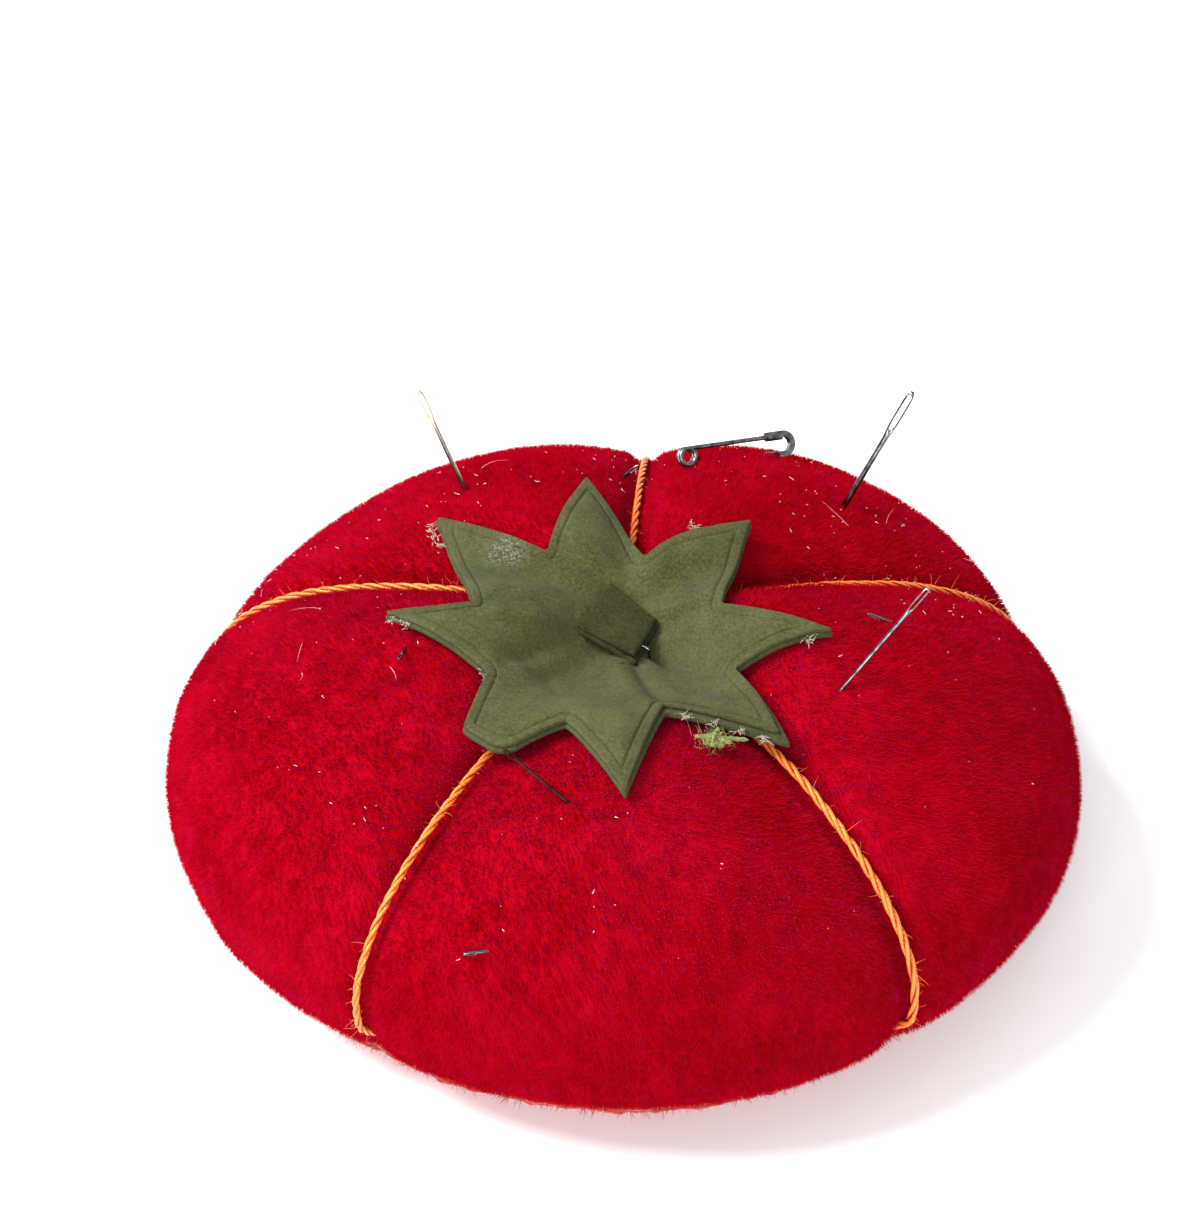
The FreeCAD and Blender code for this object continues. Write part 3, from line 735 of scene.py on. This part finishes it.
def make_base_seam():
    """Raw edges of the velvet and the cloth, standing out of the seam with loose threads."""
    angles = angles_around(720)
    edge = skin(angles, SEAM_LEVEL)
    outward = unit(edge * np.array([1, 1, 0]))
    strips = []
    for drop, reach, seed in ((0.25, 0.55, 1.0), (-0.25, 0.45, 6.0)):
        ragged = reach + 0.35 * noise(edge, 0.9, seed) + 0.25 * noise(edge, 4.0, seed)
        sag = 0.35 * noise(edge, 5.0, seed + 2)
        rows = []
        for share, thick in ((0, 0.22), (1, 0.16), (1, -0.16), (0, -0.22)):
            row = edge + outward * (ragged * share - 0.5 * (1 - share))[:, None]
            row = row + np.array([0, 0, 1]) * (drop + thick + sag * share)[:, None]
            rows.append(row)
        grid = np.stack(rows + rows[:1])
        quads = grid_faces(5, len(angles), True)
        merged = np.where(quads >= 4 * len(angles), quads - 4 * len(angles), quads)
        strips.append((grid[:4].reshape(-1, 3), merged, []))
    count = 2600
    angle = random.random(count) * 360
    roots = skin(angle, SEAM_LEVEL) + random.normal(0, 0.15, (count, 3))
    away = unit(roots * np.array([1, 1, 0])) + random.normal(0, 0.45, (count, 3)) + np.array([0, 0, -0.15])
    threads = fibres(roots, unit(away), 0.5 + 1.1 * random.random(count), 0.05, 0.4)
    joined_piece("base_seam_frayed", strips + [threads], FRAYED, "base_seam")


def make_stuffing():
    """Packed wadding inside the cover."""
    angles = angles_around(160)
    rings = []
    for level in np.linspace(0.97, -1, 70):
        spots = skin(angles, level)
        depth = 1.9 + 0.4 * noise(spots, 3.0) + crease(angles, spots)
        rings.append(spots - skin_normal(angles, level) * depth[:, None])
    grid = np.stack(rings)
    grid[..., 2] = np.maximum(grid[..., 2], 1.6)
    rows, columns = grid.shape[:2]
    centre = np.stack([grid[0].mean(0), grid[-1].mean(0)])
    points = np.concatenate([grid.reshape(-1, 3), centre])
    faces = [grid_faces(rows, columns, True), fan_caps(rows, columns)]
    piece = make_object("wadding", points, faces, [STUFFING])
    stands_for(piece, "cushion", "stuffing")


# -------- cords

def resampled(points, count):
    length = lengths_along(points)
    even = np.linspace(0, length[-1], count)
    return np.stack([np.interp(even, length, points[:, i]) for i in range(3)], -1), length[-1]


def groove_line(seam, lift):
    levels = np.linspace(0.984, CORD_END_LEVEL, 500)
    spots = skin(SEAMS[seam], levels)
    sink = TIE_SINK * bell(np.hypot(spots[:, 0], spots[:, 1]), TIE_BLEND)
    sink = sink + CORD_DIVE * np.clip((CORD_DIVE_LEVEL - levels) / 0.2, 0, 1)
    wander = 0.12 * noise(spots, 6.0, seam + 0.5)
    return spots + skin_normal(SEAMS[seam], levels) * (lift + wander - sink)[:, None]


PLY_SIDES = 14
PLY_SHARE = 0.49  # a ply's radius as a share of the cord's
GAP_SHADE_SHARE = 0.78  # faces nearer the middle than this share of the radius are in the gaps between plies, and get painted shade


def twisted_plies(line, count, radius, pitch, steps_per_mm=3.2):
    """Plies laid round a line, and which of their faces are in the gaps between them, where shade is painted.
    """
    length = resampled(line, 10)[1]
    stations = int(length * steps_per_mm)
    centre, length = resampled(line, stations)
    along = unit(np.gradient(centre, axis=0))
    side = unit(np.cross(along, np.array([0.2, 0.3, 1.0])))
    other = np.cross(along, side)
    ply = radius * PLY_SHARE
    spread = radius - ply
    paths = []
    for index in range(count):
        wobble = 0.25 * np.sin(np.linspace(0, length / 3.1, stations) + index)
        angle = 2 * np.pi * np.linspace(0, length / pitch, stations) + 2 * np.pi * index / count + wobble
        paths.append(centre + spread * (side * np.cos(angle)[:, None] + other * np.sin(angle)[:, None]))
    taper = np.ones(stations)
    taper[:3] = (0.4, 0.75, 0.95)
    taper[-3:] = (0.95, 0.75, 0.4)
    points, quads, triangles = strand_mesh(np.stack(paths), ply * taper, PLY_SIDES)
    per_ply = len(points) // count
    station = np.minimum((quads[:, 0] % per_ply) // PLY_SIDES, stations - 1)
    out = np.linalg.norm(points[quads].mean(1) - centre[station], axis=1)
    return (points, quads, triangles), out < radius * GAP_SHADE_SHARE


def make_cord(name, seam, lift, size):
    line = groove_line(seam, lift)
    radius = CORD_RADIUS * size
    body, painted_gap_shade = twisted_plies(line, 3, radius, CORD_PITCH * size)
    count = 90
    chosen = line[random.integers(0, len(line), count)]
    away = unit(random.normal(size=(count, 3)) + unit(chosen) * 1.5)
    fuzz = fibres(chosen + away * radius * 0.6, away, 0.5 + 1.2 * random.random(count), 0.03, 0.7)
    points, quads, triangles = joined([body, fuzz])
    # Faces in the gaps between the plies take the second material, which is painted shade.
    shades = np.zeros(len(quads) + len(triangles), int)
    shades[:len(painted_gap_shade)] = painted_gap_shade
    piece = make_object(name + "_plies", points, [quads, triangles], [ORANGE, GAP_SHADE_ORANGE],
                        face_materials=shades)
    stands_for(piece, "cushion", name)


# -------- leaf

def leaf_outline(corners):
    """The star's edge as points around its middle: straight or slightly bowed between corners."""
    edge = []
    for here, after in zip(corners, corners[1:] + corners[:1]):
        start = np.array(here[:2]) - LEAF_MIDDLE
        end = np.array(after[:2]) - LEAF_MIDDLE
        across = unit(np.array([(end - start)[1], -(end - start)[0]]))
        for share in np.linspace(0.02, 0.98, 24):
            bow = 4 * share * (1 - share) * here[2]
            edge.append(start + (end - start) * share + across * bow)
    edge = np.array(edge)
    ragged = noise(np.column_stack([edge, 0 * edge[:, 0]]), 1.1, 3.9)
    return edge * (1 + 0.0025 * ragged)[:, None]


def edge_distance(spots, edge):
    """Distance of plan points from a closed outline."""
    best = np.full(len(spots), np.inf)
    for start, end in zip(edge, np.roll(edge, -1, axis=0)):
        best = np.minimum(best, from_segment(spots, start, end))
    return best


def leaf_grid(edge):
    """Plan points from the edge to the middle: first along the pressed rim, then inwards."""
    angle = np.unwrap(np.arctan2(edge[:, 1], edge[:, 0]))
    radius = np.hypot(edge[:, 0], edge[:, 1])
    directions = np.stack([np.cos(angle), np.sin(angle)], -1)
    steps = np.linspace(0, 0.5, 90)
    reach = np.stack([edge_distance(directions * (radius * (1 - step))[:, None], edge) for step in steps])
    rows = []
    for distance in RIM_STEPS:
        first = np.clip(np.argmax(reach >= distance, axis=0), 1, None)
        low = np.take_along_axis(reach, (first - 1)[None], 0)[0]
        high = np.take_along_axis(reach, first[None], 0)[0]
        part = np.clip((distance - low) / np.maximum(high - low, 1e-9), 0, 1)
        share = 1 - (steps[first - 1] + part * (steps[1] - steps[0])) if distance else np.ones(len(angle))
        rows.append(directions * (radius * share)[:, None])
    inside = np.hypot(rows[-1][:, 0], rows[-1][:, 1])
    for share in np.linspace(1, 0.012, 46)[1:]:
        rows.append(directions * (inside * share)[:, None])
    return np.stack(rows)


def leaf_relief(plan, distance):
    """Height of the velour over a flat leaf: puffed inside, with a pressed line along the rim."""
    line = RIM_LINE[0] * bell(distance - LEAF_RIM, RIM_LINE[1])
    puff = LEAF_PUFF[0] * (1 - np.exp(-np.maximum(distance - LEAF_RIM, 0) / LEAF_PUFF[1]))
    spots = np.concatenate([plan, np.zeros(plan.shape[:-1] + (1,))], -1)
    wrinkles = layered_noise(spots, WRINKLES)
    for start, end in LEAF_FOLDS:
        fold = from_segment(spots[..., :2] + LEAF_MIDDLE, np.array(start), np.array(end))
        wrinkles = wrinkles - 0.55 * bell(fold, 0.9) + 0.35 * bell(fold - 2.4, 1.3)
    return puff - line + wrinkles * np.clip(distance / 3, 0.15, 1)


def leaf_layer(name, low, high, edge, material, node, relief):
    plan = leaf_grid(edge)
    distance = edge_distance(plan.reshape(-1, 2), edge).reshape(plan.shape[:2])
    x = plan[..., 0] + LEAF_MIDDLE[0]
    y = plan[..., 1] + LEAF_MIDDLE[1]
    ground = skin_height(x, y, LEAF_LIE)
    top = ground + high + (leaf_relief(plan, distance) if relief else 0)
    round_edge = 0.18 * np.exp(-distance / 0.12)
    upper = np.stack([x, y, top - round_edge], -1)
    lower = np.stack([x, y, ground + low + round_edge * 0.5], -1)
    shell, quads = shell_between(upper, lower)
    piece = make_object(name, shell, [quads], [material])
    stands_for(piece, "cushion", node)
    return piece


def make_leaf():
    backing_corners = tuple(BACKING_CORNERS.get(index, corner) for index, corner in enumerate(LEAF_CORNERS))
    edges = {"top": leaf_outline(LEAF_CORNERS) * 0.992, "backing": leaf_outline(backing_corners)}
    backing = leaf_layer("leaf_backing_layer", LEAF_GAP, LEAF_GAP + LEAF_CLOTH, edges["backing"],
                         LEAF_BACK, "leaf_backing", False)
    top = leaf_layer("leaf_top_layer", LEAF_GAP + LEAF_CLOTH + 0.04, LEAF_GAP + 2 * LEAF_CLOTH,
                     edges["top"], LEAF_TOP, "leaf_top", True)
    for layer, piece, under in (("backing", backing, "velvet_cloth"), ("top", top, "leaf_backing_layer")):
        patches = make_patch() if layer == "top" else [make_glue()]


def patch_grid(low, high, shrink, lifted):
    """Top and bottom points of one cloth square that follows the leaf between two heights."""
    steps = 45
    u, v = np.meshgrid(np.linspace(0, 1, steps), np.linspace(0, 1, steps))
    corners = PATCH_CORNERS + (PATCH_CORNERS.mean(0) - PATCH_CORNERS) * shrink
    weights = np.stack([(1 - u) * (1 - v), u * (1 - v), u * v, (1 - u) * v], -1)
    plan = weights @ corners
    rim = np.maximum(np.abs(2 * u - 1), np.abs(2 * v - 1))
    surface = skin_height(plan[..., 0], plan[..., 1], LEAF_LIE)
    across = weights @ skin_height(corners[:, 0], corners[:, 1], LEAF_LIE)
    ground = np.maximum(surface, across - 0.2)
    sides = 0.10 * noise(np.dstack([plan, 0 * u]), 0.9, 2.1) * (rim > 0.96)
    plan = plan + unit(plan - corners.mean(0)) * sides[..., None]
    ground = ground + lifted * np.clip(u * v * 2 - 0.6, 0, 1)
    dome = 0.25 * (1 - rim ** 4) + 0.12 * noise(np.dstack([plan, 0 * u]), 2.0)
    soft = 0.22 * np.clip((rim - 0.90) / 0.10, 0, 1) ** 2
    top = np.dstack([plan, ground + high + dome - soft])
    bottom = np.dstack([plan, ground + low + soft * 0.6])
    return top, bottom


def make_patch():
    """The folded square that lies on the leaf's middle."""
    pieces = []
    floor = LEAF_GAP + 2 * LEAF_CLOTH + 0.05
    for index, name in enumerate(("stem_patch_lower", "stem_patch_upper")):
        low = floor + index * (PATCH_CLOTH + 0.12)
        top, bottom = patch_grid(low, low + PATCH_CLOTH, 0.05 * index - 0.08, 0.45 * index)
        steps = len(top)
        quads = np.concatenate([grid_faces(steps, steps, False),
                                grid_faces(steps, steps, False, steps * steps)[:, ::-1]])
        side = np.arange(steps - 1)
        last = steps * steps - 1
        ring = np.concatenate([side, side * steps + steps - 1, last - side, (steps - 1 - side) * steps])
        after = np.roll(ring, -1)
        sides = np.stack([ring, ring + steps * steps, after + steps * steps, after], -1)
        points = np.concatenate([top.reshape(-1, 3), bottom.reshape(-1, 3)])
        piece = make_object(name + "_cloth", points, [np.concatenate([quads, sides])], [LEAF_TOP])
        stands_for(piece, "cushion", name)
        pieces.append(piece)
    return pieces


# -------- small things

def velvet_spots(angles, distances):
    return skin_spot(angles, distances), skin_normal(angles, level_at(angles, distances))


def make_lint():
    """White lint and a few hairs caught in the velvet, most of them on the top and at the back."""
    count = 300
    angles = np.where(random.random(count) < 0.6, random.uniform(0, 180, count), random.uniform(0, 360, count))
    distances = 60 * np.sqrt(random.uniform(0.2, 0.98, count))
    roots, up = velvet_spots(angles, distances)
    lying = unit(np.cross(up, random.normal(size=(count, 3)))) + up * 0.25
    length = 0.10 + 0.55 * random.random(count) ** 4
    specks = fibres(roots + up * 0.2, unit(lying), length, 0.06, 0.5)
    hair_count = 12
    angles = random.uniform(20, 210, hair_count)
    roots, up = velvet_spots(angles, random.uniform(34, 58, hair_count))
    lying = unit(np.cross(up, random.normal(size=(hair_count, 3)))) + up * 0.3
    hairs = fibres(roots, unit(lying), 2.0 + 3.0 * random.random(hair_count), 0.022, 0.6, stations=9)
    joined_piece("caught_lint", [specks, hairs], LINT, "velvet_cover")


def leaf_crumbs(spots, count, reach, size, lift):
    """Short flat crumbs scattered about plan points on the leaf."""
    chosen = np.array(spots)[random.integers(0, len(spots), count)]
    plan = chosen + random.normal(0, reach, (count, 2))
    height = skin_height(plan[:, 0], plan[:, 1], LEAF_LIE) + LEAF_GAP + lift
    lying = unit(random.normal(size=(count, 3)) * np.array([1, 1, 0.25]))
    return fibres(np.column_stack([plan, height]), lying, 0.3 + 0.6 * random.random(count), size, 0.5, 4, 5)


def make_glue():
    """Dried glue that shows at the edges between the leaf's layers."""
    edge_spots = [(-27.2, 14.5), (-26.7, 12.5), (-26.0, 10.5), (-31.0, -9.2), (-29.0, -10.4), (-18.2, -18.6),
                  (8.0, -26.6), (11.5, -27.4), (15.0, -28.4), (18.0, -29.2), (24.5, -13.2), (9.5, 10.2)]
    crumbs = leaf_crumbs(edge_spots, 190, 0.38, 0.07, LEAF_CLOTH)
    return joined_piece("leaf_glue_crumbs", [crumbs], GLUE, "leaf_backing")


def make_yarn():
    """A short tangled end of yarn under the leaf's edge."""
    middle = skin_spot(*YARN_PLACE) + np.array([0, 0, 1.0])
    strands = []
    for _ in range(3):
        knots = random.normal(size=(9, 3)) * YARN_SPREAD
        steps = np.linspace(0, 8, 130)
        low = np.floor(steps).astype(int).clip(0, 7)
        part = eased(steps - low)[:, None]
        path = middle + knots[low] * (1 - part) + knots[low + 1] * part
        strands.append(twisted_plies(path, 2, 0.30, 1.5, steps_per_mm=4.0)[0])
    count = 130
    roots = middle + random.normal(size=(count, 3)) * YARN_SPREAD
    strands.append(fibres(roots, unit(random.normal(size=(count, 3))), 0.5 + random.random(count), 0.03, 0.8))
    joined_piece("yarn_tangle", strands, YARN, "green_yarn")


# -------- metal

def needle_matrix(name):
    """Moves a needle drawn along +Z, with its tip at the origin, to its place, in millimetres."""
    angle, distance, azimuth, lean, exposed, length = NEEDLES[name][:6]
    tilt = math.radians(lean)
    turn = math.radians(azimuth)
    outward = Vector((math.sin(tilt) * math.cos(turn), math.sin(tilt) * math.sin(turn), math.cos(tilt)))
    tip = Vector(skin_spot(angle, distance)) - outward * (length - exposed)
    return Matrix.Translation(tip) @ Vector((0, 0, 1)).rotation_difference(outward).to_matrix().to_4x4()


RING_ANGLES = np.radians(np.arange(8) * 45 - 67.5)
RING_FLAT = 0.924  # half width of an eight-sided ring across its flats


def needle_cage(length, shaft, eye_width, eye_length):
    """Stations (height, half width, half depth, slot half width) from the point to the end."""
    half = shaft / 2
    wide = eye_width / 2
    flat = half * 0.85
    slot = wide * 0.50
    eye = length - eye_length
    shaft_part = [(0.0, 0.015, 0.015), (0.5, half * 0.22, half * 0.22), (2.5, half * 0.62, half * 0.62),
                  (6.0, half, half), (eye - 3.0, half, half), (eye - 0.6, half, half), (eye, half, flat)]
    low = eye + eye_length * 0.20
    high = length - 0.55 * eye_width
    slot_part = [(low, wide * 0.90, flat, slot * 0.35), (low + 0.35, wide * 0.95, flat, slot * 0.8),
                 (low + 0.9, wide, flat, slot), ((low + high) / 2, wide, flat, slot),
                 (high - 0.5, wide, flat, slot), (high - 0.15, wide * 0.9, flat, slot * 0.8),
                 (high, wide * 0.82, flat, slot * 0.45)]
    end_part = [(high + (length - high) * 0.5, wide * 0.66, flat * 0.95),
                (length - 0.06, wide * 0.34, flat * 0.7)]
    return shaft_part, slot_part, end_part


def needle_mesh(length, shaft, eye_width, eye_length):
    shaft_part, slot_part, end_part = needle_cage(length, shaft, eye_width, eye_length)
    points = []
    faces = []

    def ring(station):
        height, wide, deep = station[:3]
        spots = np.stack([wide * np.cos(RING_ANGLES) / RING_FLAT, deep * np.sin(RING_ANGLES) / RING_FLAT], -1)
        if len(station) == 4:
            spots[[0, 3], 0] = station[3]
            spots[[4, 7], 0] = -station[3]
        start = len(points)
        points.extend([(x, y, height) for x, y in spots])
        return [start + i for i in range(8)]

    shaft_rings = [ring(station) for station in shaft_part]
    slot_rings = [ring(station) for station in slot_part]
    end_rings = [ring(station) for station in end_part]
    whole = shaft_rings + slot_rings[:1]
    for low, high in list(zip(whole, whole[1:])) + list(zip([slot_rings[-1]] + end_rings, end_rings)):
        faces += [(low[i], low[(i + 1) % 8], high[(i + 1) % 8], high[i]) for i in range(8)]
    for low, high in zip(slot_rings, slot_rings[1:]):
        for rail in ((0, 1, 2, 3), (4, 5, 6, 7)):
            for here, after in zip(rail, rail[1:] + rail[:1]):
                faces.append((low[here], low[after], high[after], high[here]))
    floor = slot_rings[0]
    roof = slot_rings[-1]
    faces.append((floor[0], floor[3], floor[4], floor[7]))
    faces.append((roof[7], roof[4], roof[3], roof[0]))
    tip = shaft_rings[0]
    crown = end_rings[-1]
    for quad in ((0, 1, 2, 3), (0, 3, 4, 7), (4, 5, 6, 7)):
        faces.append(tuple(tip[i] for i in reversed(quad)))
        faces.append(tuple(crown[i] for i in quad))
    return np.array(points), np.array(faces)


def make_needle(name):
    length, shaft, eye_width, eye_length = NEEDLES[name][5:]
    points, faces = needle_mesh(length, shaft, eye_width, eye_length)
    in_eye = points[faces][:, :, 2].mean(1) > length - eye_length
    place = np.array(needle_matrix(name))
    points = points @ place[:3, :3].T + place[:3, 3]
    # The sharps needle takes the steel with the painted red reflection of the velvet.
    materials = {"gold_eye_needle": [PALE_STEEL, GILT], "sharps_needle": [RED_REFLECTION_STEEL, RED_REFLECTION_STEEL]}.get(
        name, [STEEL, STEEL])
    piece = make_object(name + "_steel", points, [faces], materials, face_materials=in_eye.astype(int))
    smooth = piece.modifiers.new("rounding", "SUBSURF")
    smooth.levels = 3
    smooth.render_levels = 3
    apply_modifiers(piece)
    stands_for(piece, name, name)


def apply_modifiers(piece):
    graph = bpy.context.evaluated_depsgraph_get()
    mesh = bpy.data.meshes.new_from_object(piece.evaluated_get(graph))
    piece.modifiers.clear()
    piece.data = mesh


def pin_matrix():
    """The safety pin's flat frame: X along the arms, Y along the coil's axis, Z to the spine."""
    coil = Vector(skin_spot(*PIN_COIL_PLACE))
    clasp = Vector(skin_spot(*PIN_CLASP_PLACE))
    along = (clasp - coil).normalized()
    axis = Vector((0, 0, 1)).cross(along).normalized()
    up = along.cross(axis)
    lean = Matrix.Rotation(math.radians(-PIN_LEAN), 3, along)
    origin = coil + up * (PIN_LIFT + PIN_COIL)
    turn = Matrix((along, lean @ axis, lean @ up)).transposed()
    return Matrix.Translation(origin) @ turn.to_4x4()


def in_pin_frame(points):
    place = np.array(pin_matrix())
    return np.asarray(points) @ place[:3, :3].T + place[:3, 3]


# -------- stage, lights and camera

def plain_material(name, colour, roughness):
    shader = Shader(name, Roughness=roughness)
    shader.colour(shader.ramp(shader.noise(40.0), (0.4, tuple(0.98 * c for c in colour)), (0.6, colour)))
    return shader.material


def make_stage():
    size = 4000.0
    corners = np.array([(-size, -size, 0), (size, -size, 0), (size, size, 0), (-size, size, 0)])
    paper = plain_material("paper", (0.84, 0.83, 0.84), 0.8)
    floor = make_object("floor", corners, [np.array([[0, 1, 2, 3]])], [paper])
    world = bpy.data.worlds.new("studio")
    bpy.context.scene.world = world
    world.use_nodes = True
    world.node_tree.nodes["Background"].inputs["Color"].default_value = (1.0, 1.0, 1.0, 1)
    world.node_tree.nodes["Background"].inputs["Strength"].default_value = 0.92
    bpy.context.scene.view_settings.view_transform = "Standard"


def area_light(name, place, aim, size, power, colour=(1, 1, 1)):
    data = bpy.data.lights.new(name, "AREA")
    data.shape = "DISK"
    data.size = size
    data.energy = power
    data.color = colour
    lamp = bpy.data.objects.new(name, data)
    lamp.location = place
    lamp.rotation_euler = (Vector(aim) - Vector(place)).to_track_quat("-Z", "Y").to_euler()
    bpy.context.scene.collection.objects.link(lamp)


def make_lights():
    area_light("key", (-0.56, -0.06, 0.76), (0, 0, 0.02), 0.45, 22.0)
    area_light("front", (-0.10, -1.10, 0.42), (0, 0, 0.02), 1.00, 18.0)


def make_camera():
    data = bpy.data.cameras.new("camera")
    data.lens = CAMERA_LENS
    data.sensor_width = 36.0
    data.clip_start = 0.01
    data.clip_end = 20.0
    camera = bpy.data.objects.new("camera", data)
    forward = Vector(CAMERA_AIM).normalized()
    right = forward.cross(Vector((0, 0, 1))).normalized()
    up = right.cross(forward)
    turn = Matrix((right, up, -forward)).transposed().to_4x4()
    camera.matrix_world = Matrix.Translation(CAMERA_PLACE) @ turn
    bpy.context.scene.collection.objects.link(camera)
    bpy.context.scene.camera = camera


make_camera()
make_stage()
make_lights()
make_velvet()
make_underside()
make_base_seam()
make_stuffing()
for cord_name, cord_values in CORDS.items():
    make_cord(cord_name, *cord_values)
make_leaf()
make_patch()  # a known fault: make_leaf has made the square, so this doubles it
make_lint()
make_yarn()
for needle_name in NEEDLES:
    make_needle(needle_name)
for node, material in (("centre_tie", THREAD), ("top_knot", THREAD), ("bottom_knot", THREAD),
                       ("patch_staple", STEEL), ("safety_pin_arm", PIN_STEEL),
                       ("safety_pin_spine", PIN_STEEL), ("safety_pin_clasp", PIN_STEEL)):
    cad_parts[node].data.materials.clear()
    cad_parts[node].data.materials.append(material)
